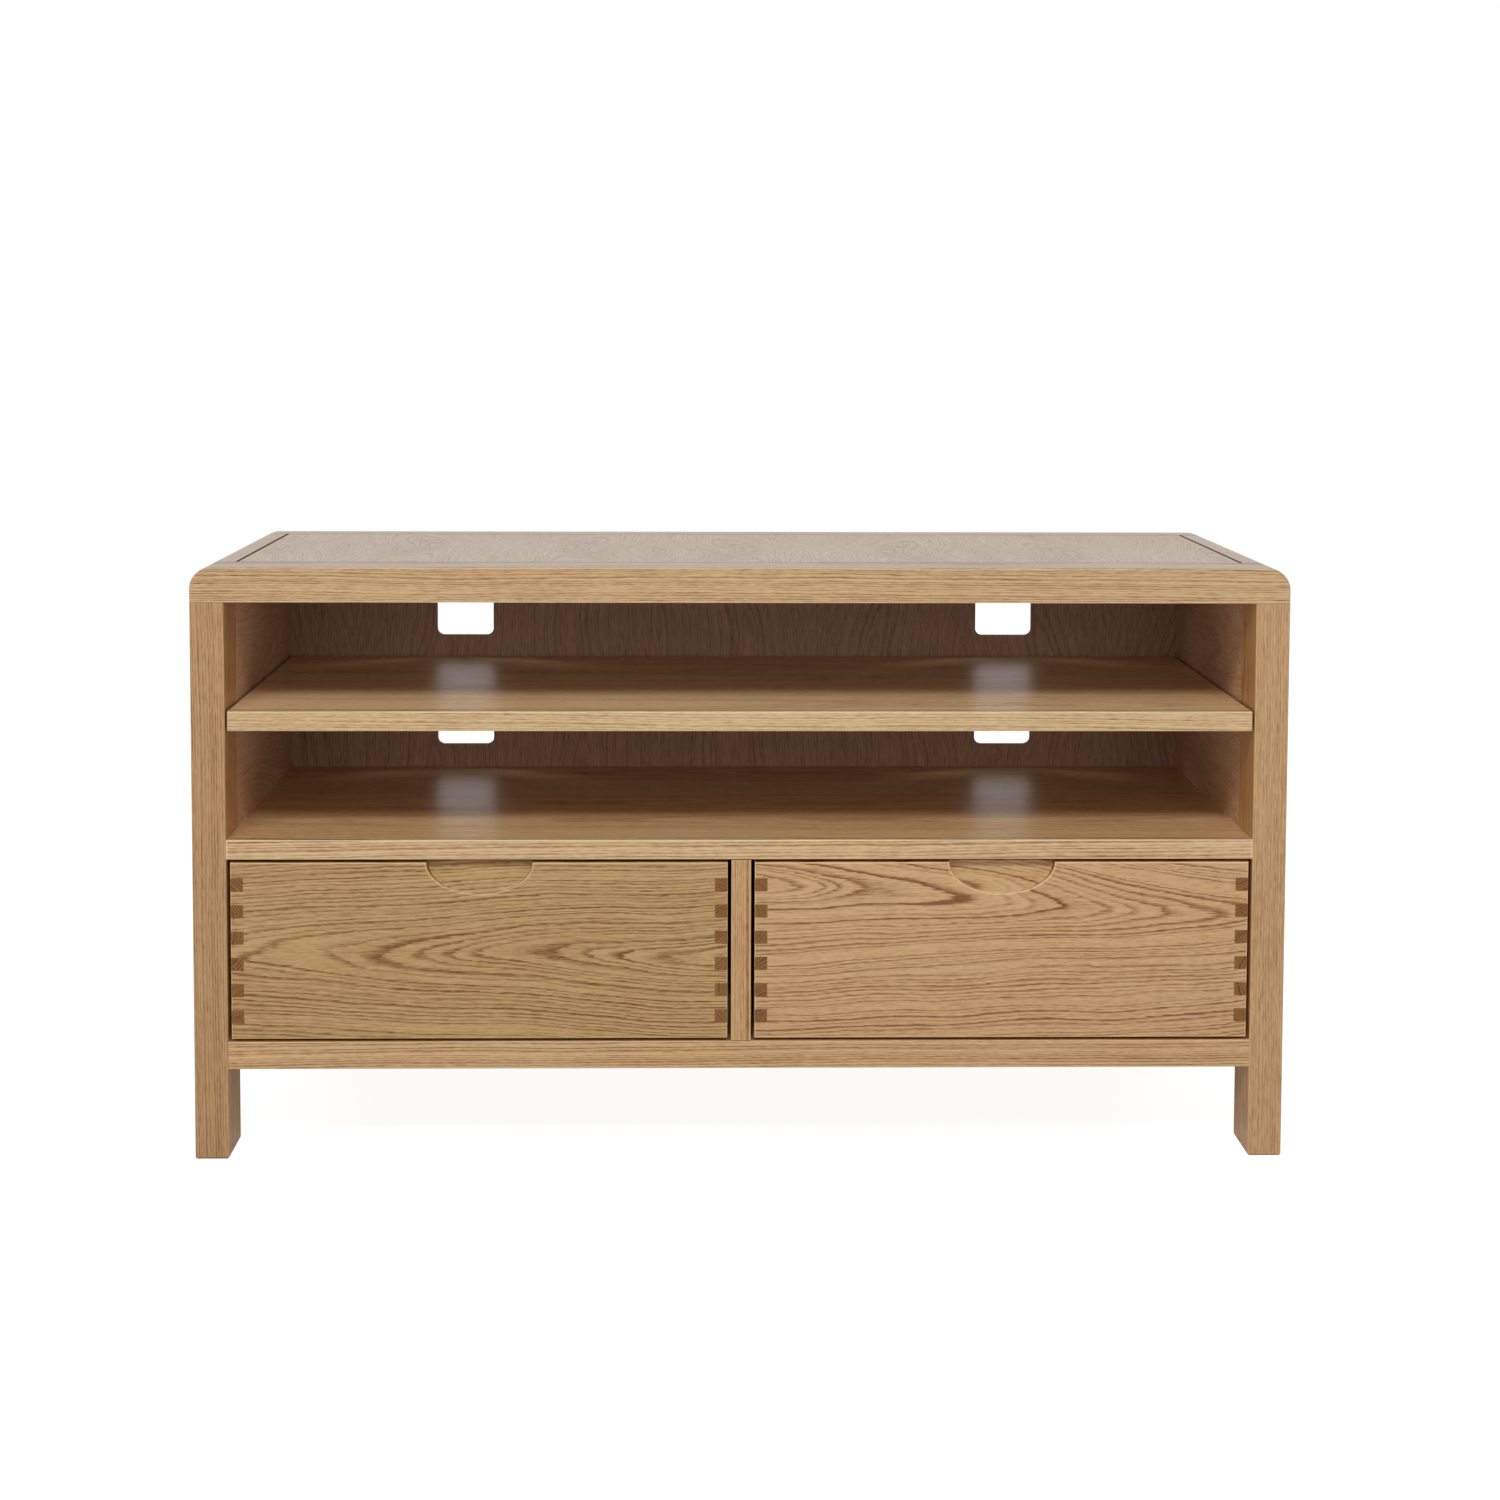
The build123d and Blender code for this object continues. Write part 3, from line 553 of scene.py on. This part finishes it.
class Nodes:
    """The nodes of one material or of the world, added by type."""

    def __init__(self, tree):
        self.tree = tree
        self.tree.nodes.clear()

    def add(self, kind, settings=None, inputs=None):
        """Adds a node: its settings first, then the values or links of its sockets."""
        node = self.tree.nodes.new(kind)
        for name, value in (settings or {}).items():
            setattr(node, name, value)
        for key, value in (inputs or {}).items():
            self.feed(self.find(node.inputs, key), value)
        return node

    def find(self, sockets, key):
        """A socket by its place in the list, its identifier or its name."""
        if isinstance(key, int):
            return sockets[key]
        for socket in sockets:
            if socket.identifier == key:
                return socket
        return sockets[key]

    def feed(self, socket, value):
        """Links a value to a socket, or sets it there if it is a plain number or colour."""
        if isinstance(value, Number):
            value = value.socket
        if isinstance(value, bpy.types.NodeSocket):
            self.tree.links.new(value, socket)
        else:
            socket.default_value = value

    def maths(self, operation, *values):
        """One step of a sum."""
        node = self.add("ShaderNodeMath", {"operation": operation}, dict(enumerate(values)))
        return Number(self, node.outputs[0])

    def vector(self, operation, *values):
        """One step of a sum on vectors."""
        node = self.add("ShaderNodeVectorMath", {"operation": operation}, dict(enumerate(values)))
        return node.outputs[0]

    def blend(self, factor, first, second, mode="MIX"):
        """Mixes two colours."""
        node = self.add(
            "ShaderNodeMix",
            {"data_type": "RGBA", "blend_type": mode},
            {"Factor_Float": factor, "A_Color": first, "B_Color": second},
        )
        return self.find(node.outputs, "Result_Color")

    def tint(self, factor, colour, tint):
        """Multiplies a colour by a tint, as far as the factor says."""
        return self.blend(factor, colour, rgba(tint), "MULTIPLY")

    def split(self, vector):
        """The three parts of a vector, as values."""
        node = self.add("ShaderNodeSeparateXYZ", inputs={"Vector": vector})
        return [Number(self, socket) for socket in node.outputs]

    def join(self, *parts):
        """A vector of three values."""
        return self.add("ShaderNodeCombineXYZ", inputs=dict(enumerate(parts))).outputs[0]

    def place(self):
        """The point of the surface on the piece's own axes, in metres."""
        return self.add("ShaderNodeTexCoord").outputs["Object"]

    def place_in_mm(self):
        """The same point, in millimetres."""
        return self.vector("MULTIPLY", self.place(), (MM, MM, MM))

    def noise(self, point, sizes, seed, detail=1.0, roughness=0.5):
        """Smooth noise whose spots have the given sizes along the point's three axes, about 0."""
        scales = tuple(1 / size for size in sizes)
        places = tuple(seed * step for step in SEED_STEPS)
        stretched = self.vector("MULTIPLY_ADD", point, scales, places)
        node = self.add(
            "ShaderNodeTexNoise",
            {"noise_dimensions": "3D"},
            {"Vector": stretched, "Scale": 1.0, "Detail": detail, "Roughness": roughness},
        )
        return (Number(self, node.outputs["Fac"]) - 0.5) * 2.0

    def line_noise(self, value, size, seed, detail=1.0):
        """Smooth noise along one value, about 0."""
        node = self.add(
            "ShaderNodeTexNoise",
            {"noise_dimensions": "1D"},
            {"W": value * (1 / size) + seed * LINE_SEED_STEP, "Scale": 1.0, "Detail": detail},
        )
        return (Number(self, node.outputs["Fac"]) - 0.5) * 2.0

    def bump(self, height, strength, depth):
        """The slopes of a surface whose height goes up or down by the depth, in metres."""
        node = self.add("ShaderNodeBump", inputs={"Strength": strength, "Distance": depth, "Height": height})
        return node.outputs[0]

    def surface(self, inputs):
        """The shader of a solid surface, and the material's output."""
        shader = self.add("ShaderNodeBsdfPrincipled", inputs=inputs)
        self.add("ShaderNodeOutputMaterial", inputs={"Surface": shader.outputs[0]})


def new_material(name):
    """An empty material and its nodes."""
    material = bpy.data.materials.new(name)
    material.use_nodes = True
    return material, Nodes(material.node_tree)


def rgba(colour, tone=NO_TINT):
    """A colour with an alpha, tinted."""
    return tuple(part * tint for part, tint in zip(colour, tone)) + (1.0,)


def board_point(nodes, board, name):
    """How far a point is across, along and through a board, in millimetres from the board's middle."""
    low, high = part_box(name)
    middle = (low + high) / 2 * MM
    parts = [part * MM - offset for part, offset in zip(nodes.split(nodes.place()), middle)]
    deep = next(axis for axis in AXES if axis not in (board.along, board.across))
    across, along, through = (parts[AXES.index(axis)] for axis in (board.across, board.along, deep))
    if board.leaf:
        # Veneer leaves lie side by side like the pages of a book, every other one turned over
        leaf = (across / board.leaf + 0.5).floor()
        turn = 1.0 - (leaf * 0.5).rest() * 4.0
        across = (across - leaf * board.leaf) * turn
        along = along + leaf * LEAF_SHIFT
    return across, along, through


def near_arris(nodes, name):
    """1 along the arrises of a board's box, fading to 0 within two millimetres."""
    low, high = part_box(name)
    gaps = []
    for part, start, stop in zip(nodes.split(nodes.place()), low, high):
        gaps.append(((part - start).least(stop - part)) * MM)
    # Two of the three gaps are small at an arris, so the middle one of the three tells how near it is
    first, second, third = gaps
    middle_gap = first.least(second).most(first.most(second).least(third))
    return 1.0 - middle_gap.step(*ARRIS_SPAN)


def pull_marks(nodes, name, pull):
    """The rounded rim of the scooped pull, half an ellipse below the top edge, and the hollow inside it."""
    low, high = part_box(name)
    across, through, up = nodes.split(nodes.place())
    half_width, drop = pull
    sideways = (across - (low.x + high.x) / 2) * (MM / half_width)
    below = (up - high.z) * (MM / drop)
    from_rim = ((sideways * sideways + below * below).root() - 1.0) * drop
    deep = ((through - low.y) * MM).step(*HOLLOW_DEPTH_SPAN)
    rim = (1.0 - abs(from_rim).step(*RIM_SPAN)) * (1.0 - deep)
    hollow = (1.0 - from_rim.step(*HOLLOW_SPAN)) * deep
    return rim, hollow


def seam_and_shade_lines(nodes, seams_and_gap_shade):
    """1 on the fine dark lines at a board's joints, and on the painted shade in its gaps and grooves."""
    parts = nodes.split(nodes.place())
    start, stop = SEAM_SPAN
    lines = []
    for axis, level, half_width in seams_and_gap_shade:
        distance = abs(parts[AXES.index(axis)] * MM - level)
        lines.append(1.0 - distance.step(half_width * start, half_width * stop))
    joined = lines[0]
    for line in lines[1:]:
        joined = joined.most(line)
    return joined


def facing(nodes, axis, span, sign=None):
    """1 where the surface looks along an axis, either way or only the way of the sign."""
    normal = nodes.add("ShaderNodeTexCoord").outputs["Normal"]
    part = nodes.split(normal)[AXES.index(axis)]
    return (part * sign if sign else abs(part)).step(*span)


def growth_rings(nodes, board, parts, point, feather_depth):
    """The early wood of the rings about the heart of the tree, from 0 to 1, and each ring's tone, about 0."""
    across, along, through = parts
    seed = board.seed
    sway = nodes.line_noise(along, SWAY_LENGTH, seed) * board.sway
    wander = nodes.noise(point, WANDER_SIZE, seed, detail=2.0) * board.wander
    ripple = nodes.noise(point, RIPPLE_SIZE, seed + 1) * (RIPPLE_DEPTH * board.ragged)
    feather = nodes.noise(point, FEATHER_SIZE, seed + 2) * (feather_depth * MM * board.ragged)
    sideways = across - board.heart[0] - sway - along * board.lean
    inwards = through - board.heart[1] - along * board.dip
    from_heart = (sideways * sideways + inwards * inwards).root()
    distance = from_heart + along * board.slope + wander + ripple
    width_change = nodes.line_noise(distance, RING_CHANGE_SIZE, seed + 3) * RING_CHANGE
    part_of_ring = ((distance + feather) * (1 / board.spacing) + width_change).rest()
    early = part_of_ring.step(*EARLY_START) * (1.0 - part_of_ring.step(*EARLY_STOP))
    ring_tone = nodes.line_noise(distance, RING_TONE_SIZE, seed + 4, detail=3.0)
    return early, ring_tone


def make_oak(name, board, finish):
    """Lacquered oak for one board: growth rings about its heart, ragged with pores, under a satin coat."""
    material, nodes = new_material("oak_" + name)
    seed = board.seed
    parts = board_point(nodes, board, name)
    point = nodes.join(*parts)

    # The marks of the wood
    early, ring_tone = growth_rings(nodes, board, parts, point, finish.feather)
    fading = nodes.noise(point, FADING_SIZE, seed + 9, detail=2.0)
    pore_width = finish.pore_width * MM
    pore_size = (pore_width, finish.pore_length * MM, pore_width)
    pores = nodes.noise(point, pore_size, seed + 5).step(*PORE_SPAN)
    fibres = nodes.noise(point, FIBRE_SIZE, seed + 6, detail=3.0, roughness=0.65)
    flecks = nodes.noise(point, FLECK_SIZE, seed + 8, detail=2.0, roughness=0.6)
    patches = nodes.noise(point, PATCH_SIZE, seed + 7)

    # The marks of sawing and use, and where the pull's rim gets a painted highlight and its hollow painted
    # shade
    end = facing(nodes, board.along, END_SPAN)
    edge_mask = near_arris(nodes, name)
    if board.pull:
        rim, hollow = pull_marks(nodes, name, board.pull)
        edge_mask = edge_mask.most(rim * RIM_PAINTED_HIGHLIGHT)

    strength = RING_STRENGTH + ring_tone * (RING_CHANCE * board.ragged) + fading * RING_FADING
    rings = early * strength.most(RING_LEAST) * (board.figure + end * END_FIGURE)
    shade = (GROUND_SHADE + rings * RING_SHADE + pores * (PORE_SHADE + early * EARLY_PORE_SHADE)
             + ring_tone * RING_TONE_SHADE + fibres * FIBRE_SHADE + flecks * FLECK_SHADE
             + patches * PATCH_SHADE)
    colour = nodes.blend(shade.share(), rgba(finish.light, board.tone), rgba(finish.dark, board.tone))
    warmth = (patches * WARM_CHANGE + WARM_SHARE).share() * WARM_STRENGTH
    colour = nodes.tint(warmth, colour, finish.warm)
    roughness = (finish.roughness + pores * PORE_ROUGHNESS + end * END_ROUGHNESS
                 + patches * PATCH_ROUGHNESS + edge_mask * RUBBED_ROUGHNESS)
    # Painted shade in the pull's hollow
    if board.pull:
        colour = nodes.tint(hollow, colour, finish.painted_hollow_shade)
        roughness = roughness + hollow * HOLLOW_ROUGHNESS
    # Painted shade on the faces that look up or down
    if board.painted_top_shade:
        colour = nodes.tint(facing(nodes, "Z", PAINTED_TOP_SPAN), colour, board.painted_top_shade)
    # Painted light or shade on the faces that line the bays
    if board.painted_lining:
        axis, sign, tint = board.painted_lining
        colour = nodes.tint(facing(nodes, axis, PAINTED_LINING_SPAN, sign), colour, tint)
    colour = nodes.tint(end * board.ends, colour, finish.end)
    # Arrises and the pull's rim are painted pale: partly rubbed wear, partly a painted highlight
    rubbing_and_highlight = edge_mask * (1.0 - end * END_RUBBING_AND_HIGHLIGHT_LOST) * board.rubbed_and_highlit
    colour = nodes.blend(rubbing_and_highlight, colour, rgba(finish.worn_highlight, board.tone))
    # Dark lines at joints; in the top's end grooves and the loose shelf's end gaps they are painted shade
    if board.seams_and_gap_shade:
        seam_or_shade = seam_and_shade_lines(nodes, board.seams_and_gap_shade)
        colour = nodes.blend(seam_or_shade * SEAM_STRENGTH, colour, rgba(finish.dark, SEAM_TINT))
        roughness = roughness + seam_or_shade * SEAM_ROUGHNESS

    height = -(pores * PORE_SINK) - early * EARLY_SINK
    nodes.surface({
        "Base Color": colour,
        "Roughness": roughness,
        "Normal": nodes.bump(height, OAK_BUMP, finish.pore_depth),
        "Specular IOR Level": OAK_SPECULAR,
    })
    return material


def make_beech(name, finish):
    """Waxed beech: short dark flecks on an even pale ground."""
    material, nodes = new_material("beech_" + name)
    point = nodes.place_in_mm()
    flecks = nodes.noise(point, BEECH_FLECK_SIZE, BEECH_FLECK_SEED).step(*BEECH_FLECK_SPAN)
    streaks = nodes.noise(point, BEECH_STREAK_SIZE, BEECH_STREAK_SEED, detail=2.0)
    edge_mask = near_arris(nodes, name)
    shade = (BEECH_GROUND_SHADE + flecks * BEECH_FLECK_SHADE + streaks * BEECH_STREAK_SHADE
             - edge_mask * BEECH_RUBBED_LIGHT)
    nodes.surface({
        "Base Color": nodes.blend(shade.share(), rgba(finish.light), rgba(finish.dark)),
        "Roughness": finish.roughness + flecks * BEECH_FLECK_ROUGHNESS,
        "Normal": nodes.bump(-flecks, BEECH_BUMP, finish.fleck_depth),
    })
    return material


def make_steel(name, finish):
    """Plated steel with fine turning marks and a little dulling."""
    material, nodes = new_material("steel_" + name)
    point = nodes.place_in_mm()
    dulling = nodes.noise(point, DULLING_SIZE, DULLING_SEED, detail=2.0)
    turning = nodes.noise(point, TURNING_SIZE, TURNING_SEED)
    shade = STEEL_GROUND_SHADE + dulling * DULLING_SHADE + turning * TURNING_SHADE
    nodes.surface({
        "Base Color": nodes.blend(shade.share(), rgba(finish.colour), rgba(finish.colour, DULL_TINT)),
        "Metallic": 1.0,
        "Roughness": finish.roughness + dulling * DULLING_ROUGHNESS,
        "Normal": nodes.bump(turning, STEEL_BUMP, finish.turning_depth),
    })
    return material


def give(name, material):
    """Puts a material on all the slots of a node's object."""
    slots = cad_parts[name].material_slots
    if not slots:
        raise RuntimeError(f"{name} has no material slot")
    for slot in slots:
        slot.material = material


def dress_boards(boards, context):
    """Gives each of these boards its own oak."""
    finish = context.scene.cabinet.oak
    for name, board in boards.items():
        give(name, make_oak(name, board, finish))


class CABINET_OT_dress_posts(Operator):
    """Finish the four posts"""

    bl_idname = "cabinet.dress_posts"
    bl_label = "Finish posts"

    def execute(self, context):
        dress_boards(POSTS, context)
        return {"FINISHED"}


class CABINET_OT_dress_top(Operator):
    """Finish the rails and the panel of the top"""

    bl_idname = "cabinet.dress_top"
    bl_label = "Finish top"

    def execute(self, context):
        dress_boards(TOP, context)
        return {"FINISHED"}


class CABINET_OT_dress_panels(Operator):
    """Finish the veneered side, back and base panels"""

    bl_idname = "cabinet.dress_panels"
    bl_label = "Finish panels"

    def execute(self, context):
        dress_boards(PANELS, context)
        return {"FINISHED"}


class CABINET_OT_dress_shelves(Operator):
    """Finish both shelves and their solid front edges"""

    bl_idname = "cabinet.dress_shelves"
    bl_label = "Finish shelves"

    def execute(self, context):
        dress_boards(SHELVES, context)
        return {"FINISHED"}


class CABINET_OT_dress_rails(Operator):
    """Finish the bottom rails and the divider between the drawers"""

    bl_idname = "cabinet.dress_rails"
    bl_label = "Finish rails and divider"

    def execute(self, context):
        dress_boards(RAILS, context)
        return {"FINISHED"}


class CABINET_OT_dress_drawers(Operator):
    """Finish the fronts, sides, backs and bottoms of the drawers"""

    bl_idname = "cabinet.dress_drawers"
    bl_label = "Finish drawers"

    def execute(self, context):
        dress_boards(DRAWERS, context)
        return {"FINISHED"}


class CABINET_OT_dress_runners(Operator):
    """Finish the runners, guides and stops of the drawers"""

    bl_idname = "cabinet.dress_runners"
    bl_label = "Finish runners"

    def execute(self, context):
        for name in RUNNERS:
            give(name, make_beech(name, context.scene.cabinet.beech))
        return {"FINISHED"}


class CABINET_OT_dress_pins(Operator):
    """Finish the steel pins under the loose shelf"""

    bl_idname = "cabinet.dress_pins"
    bl_label = "Finish shelf pins"

    def execute(self, context):
        give("shelf_pins", make_steel("shelf_pins", context.scene.cabinet.steel))
        return {"FINISHED"}


def raise_faces(shape, faces):
    """Extrudes faces in place, deletes the ones left behind, and returns the new corners."""
    raised = bmesh.ops.extrude_face_region(shape, geom=faces)["geom"]
    bmesh.ops.delete(shape, geom=faces, context="FACES_ONLY")
    return [item for item in raised if isinstance(item, bmesh.types.BMVert)]


def corner_places(item):
    """The places of the corners of a corner, edge or face, in an order that is always the same."""
    corners = [item] if isinstance(item, bmesh.types.BMVert) else item.verts
    return sorted(tuple(corner.co) for corner in corners)


def put_in_order(shape):
    """Sorts corners, edges and faces by their places, because extruding adds them in a chance order."""
    for items in (shape.verts, shape.edges, shape.faces):
        order = {item: number for number, item in enumerate(sorted(items, key=corner_places))}
        items.sort(key=order.get)


def screw_head(width, height, turn):
    """A low domed screw head with a cross recess, facing up, standing on level 0."""
    shape = bmesh.new()
    radius = width / 2
    bmesh.ops.create_circle(shape, cap_ends=True, radius=radius, segments=HEAD_SIDES)
    for share, lift in DOME:
        top = max(shape.faces, key=lambda face: face.calc_center_median().z)
        corners = raise_faces(shape, [top])
        scale = radius * share / max(corner.co.xy.length for corner in corners)
        bmesh.ops.scale(shape, vec=(scale, scale, 1.0), verts=corners)
        bmesh.ops.translate(shape, vec=(0.0, 0.0, height * lift), verts=corners)
    # The flat top is cut along the sides of the cross, whose faces then sink
    arm = radius * RECESS_ARM
    reach = radius * RECESS_REACH
    for limit in (arm, reach):
        for normal in ((1, 0, 0), (-1, 0, 0), (0, 1, 0), (0, -1, 0)):
            geometry = shape.verts[:] + shape.edges[:] + shape.faces[:]
            bmesh.ops.bisect_plane(
                shape, geom=geometry, dist=CUT_TOLERANCE, plane_co=Vector(normal) * limit, plane_no=normal)
    level = max(vertex.co.z for vertex in shape.verts) - LEVEL_TOLERANCE
    recess = []
    for face in shape.faces:
        middle = face.calc_center_median()
        nearest, furthest = sorted((abs(middle.x), abs(middle.y)))
        if middle.z > level and nearest < arm and furthest < reach:
            recess.append(face)
    corners = raise_faces(shape, recess)
    bmesh.ops.translate(shape, vec=(0.0, 0.0, -height * RECESS_DEPTH), verts=corners)
    bmesh.ops.rotate(shape, cent=(0, 0, 0), matrix=Matrix.Rotation(turn, 3, "Z"), verts=shape.verts[:])
    bmesh.ops.recalc_face_normals(shape, faces=shape.faces[:])
    put_in_order(shape)
    return shape


class CABINET_OT_fit_screws(Operator):
    """Fit the small screws that hold the back panel"""

    bl_idname = "cabinet.fit_screws"
    bl_label = "Fit back screws"

    def execute(self, context):
        steel = context.scene.cabinet.steel
        panel_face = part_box("back_panel")[1].y
        upright = Matrix.Rotation(math.radians(-90), 4, "X")
        joined = bmesh.new()
        for count, (across, level) in enumerate(SCREW_PLACES):
            head = screw_head(steel.head_width, steel.head_height, count * SCREW_TURN)
            place = Matrix.Translation((across / MM, panel_face, level / MM)) @ upright
            bmesh.ops.transform(head, matrix=place, verts=head.verts[:])
            loose = bpy.data.meshes.new("loose_head")
            head.to_mesh(loose)
            head.free()
            joined.from_mesh(loose)
            bpy.data.meshes.remove(loose)
        mesh = bpy.data.meshes.new("back_screws")
        joined.to_mesh(mesh)
        joined.free()
        screws = bpy.data.objects.new("back_screws", mesh)
        context.scene.collection.objects.link(screws)
        mesh.materials.append(make_steel("back_screws", steel))
        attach(screws, "carcass")
        return {"FINISHED"}


def add_lamp(context, name, place, power, size, flatness=1.0):
    """A soft lamp that points at the cabinet; flatness is its height as a share of its width."""
    lamp = bpy.data.lights.new(name, "AREA")
    lamp.shape = "RECTANGLE"
    lamp.energy = power
    lamp.size = size
    lamp.size_y = size * flatness
    stand = bpy.data.objects.new(name, lamp)
    stand.location = place
    stand.rotation_euler = (Vector(LAMP_TARGET) - Vector(place)).to_track_quat("-Z", "Y").to_euler()
    context.scene.collection.objects.link(stand)


def seen_directly(nodes, mirrored=1.0):
    """1 for what the camera sees straight or through glass, mirrored for what it sees in a reflection, and
    0 for light that falls on things."""
    path = nodes.add("ShaderNodeLightPath")
    camera, glossy, clear = (
        Number(nodes, path.outputs[f"Is {kind} Ray"]) for kind in ("Camera", "Glossy", "Transmission"))
    return camera.most(glossy * mirrored).most(clear)


def make_world(context, stage):
    """White to the camera, and a soft room light on the cabinet."""
    world = bpy.data.worlds.new("studio")
    world.use_nodes = True
    context.scene.world = world
    nodes = Nodes(world.node_tree)
    seen = seen_directly(nodes)
    strength = seen + (1.0 - seen) * stage.ambient
    white = nodes.add("ShaderNodeBackground", inputs={"Color": WHITE, "Strength": strength})
    nodes.add("ShaderNodeOutputWorld", inputs={"Surface": white.outputs[0]})


def make_floor(context, stage):
    """A pale floor that looks white and keeps the cabinet's soft shadow. Little of its white is mirrored,
    because the lacquer of the posts would look bleached."""
    shape = bmesh.new()
    bmesh.ops.create_grid(
        shape, x_segments=FLOOR_SQUARES, y_segments=FLOOR_SQUARES, size=stage.floor_size / 2)
    mesh = bpy.data.meshes.new("floor")
    shape.to_mesh(mesh)
    shape.free()
    floor = bpy.data.objects.new("floor", mesh)
    context.scene.collection.objects.link(floor)
    material, nodes = new_material("pale_floor")
    seen = seen_directly(nodes, stage.floor_mirrored)
    paper = nodes.add("ShaderNodeBsdfDiffuse", inputs={"Color": rgba(stage.floor)})
    glow = nodes.add("ShaderNodeEmission", inputs={"Color": WHITE, "Strength": stage.floor_white})
    mixed = nodes.add(
        "ShaderNodeMixShader", inputs={0: seen * stage.floor_glow, 1: paper.outputs[0], 2: glow.outputs[0]})
    nodes.add("ShaderNodeOutputMaterial", inputs={"Surface": mixed.outputs[0]})
    mesh.materials.append(material)


def make_camera(context, stage):
    """The camera, turned by yaw, pitch and roll."""
    data = bpy.data.cameras.new("camera")
    data.sensor_width = SENSOR_WIDTH
    data.lens = stage.lens
    data.shift_y = stage.rise
    camera = bpy.data.objects.new("camera", data)
    context.scene.collection.objects.link(camera)
    forward = Vector((
        math.sin(stage.yaw) * math.cos(stage.pitch),
        math.cos(stage.yaw) * math.cos(stage.pitch),
        -math.sin(stage.pitch),
    ))
    level_right = Vector((math.cos(stage.yaw), -math.sin(stage.yaw), 0.0))
    level_down = forward.cross(level_right)
    right = level_right * math.cos(stage.roll) + level_down * math.sin(stage.roll)
    down = level_down * math.cos(stage.roll) - level_right * math.sin(stage.roll)
    turn = Matrix((right, -down, -forward)).transposed()
    camera.rotation_mode = "QUATERNION"
    camera.rotation_quaternion = turn.to_quaternion()
    camera.location = stage.camera_place
    context.scene.camera = camera


class CABINET_OT_set_stage(Operator):
    """Set out the floor, the lamps, the room light and the camera"""

    bl_idname = "cabinet.set_stage"
    bl_label = "Set stage"

    def execute(self, context):
        stage = context.scene.cabinet.stage
        context.scene.view_settings.view_transform = "Standard"
        make_world(context, stage)
        make_floor(context, stage)
        add_lamp(context, "key_lamp", KEY_PLACE, stage.key_power, stage.key_size, KEY_FLATNESS)
        add_lamp(context, "fill_lamp", FILL_PLACE, stage.fill_power, FILL_SIZE, FILL_FLATNESS)
        add_lamp(context, "left_lamp", LEFT_PLACE, stage.rim_power, SIDE_LAMP_SIZE)
        add_lamp(context, "right_lamp", RIGHT_PLACE, stage.rim_power, SIDE_LAMP_SIZE)
        make_camera(context, stage)
        return {"FINISHED"}


SETTINGS = (OakFinish, BeechFinish, SteelFinish, StageSettings, CabinetSettings)
STEPS = (
    CABINET_OT_dress_posts,
    CABINET_OT_dress_top,
    CABINET_OT_dress_panels,
    CABINET_OT_dress_shelves,
    CABINET_OT_dress_rails,
    CABINET_OT_dress_drawers,
    CABINET_OT_dress_runners,
    CABINET_OT_dress_pins,
    CABINET_OT_fit_screws,
    CABINET_OT_set_stage,
)


class CABINET_PT_panel(Panel):
    """The cabinet's settings and steps"""

    bl_idname = "CABINET_PT_panel"
    bl_label = "Oak media cabinet"
    bl_space_type = "VIEW_3D"
    bl_region_type = "UI"
    bl_category = "Cabinet"

    def draw(self, context):
        settings = context.scene.cabinet
        for group in (settings.oak, settings.beech, settings.steel, settings.stage):
            box = self.layout.box()
            for name in group.__annotations__:
                box.prop(group, name)
        for step in STEPS:
            self.layout.operator(step.bl_idname)


CLASSES = SETTINGS + STEPS + (CABINET_PT_panel,)


def register():
    for item in CLASSES:
        bpy.utils.register_class(item)
    bpy.types.Scene.cabinet = PointerProperty(type=CabinetSettings)


def unregister():
    del bpy.types.Scene.cabinet
    for item in reversed(CLASSES):
        bpy.utils.unregister_class(item)


def main():
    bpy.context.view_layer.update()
    register()
    bpy.ops.cabinet.dress_posts()
    bpy.ops.cabinet.dress_top()
    bpy.ops.cabinet.dress_panels()
    bpy.ops.cabinet.dress_shelves()
    bpy.ops.cabinet.dress_rails()
    bpy.ops.cabinet.dress_drawers()
    bpy.ops.cabinet.dress_runners()
    bpy.ops.cabinet.dress_pins()
    bpy.ops.cabinet.fit_screws()
    bpy.ops.cabinet.set_stage()


if __name__ == "__main__":
    main()
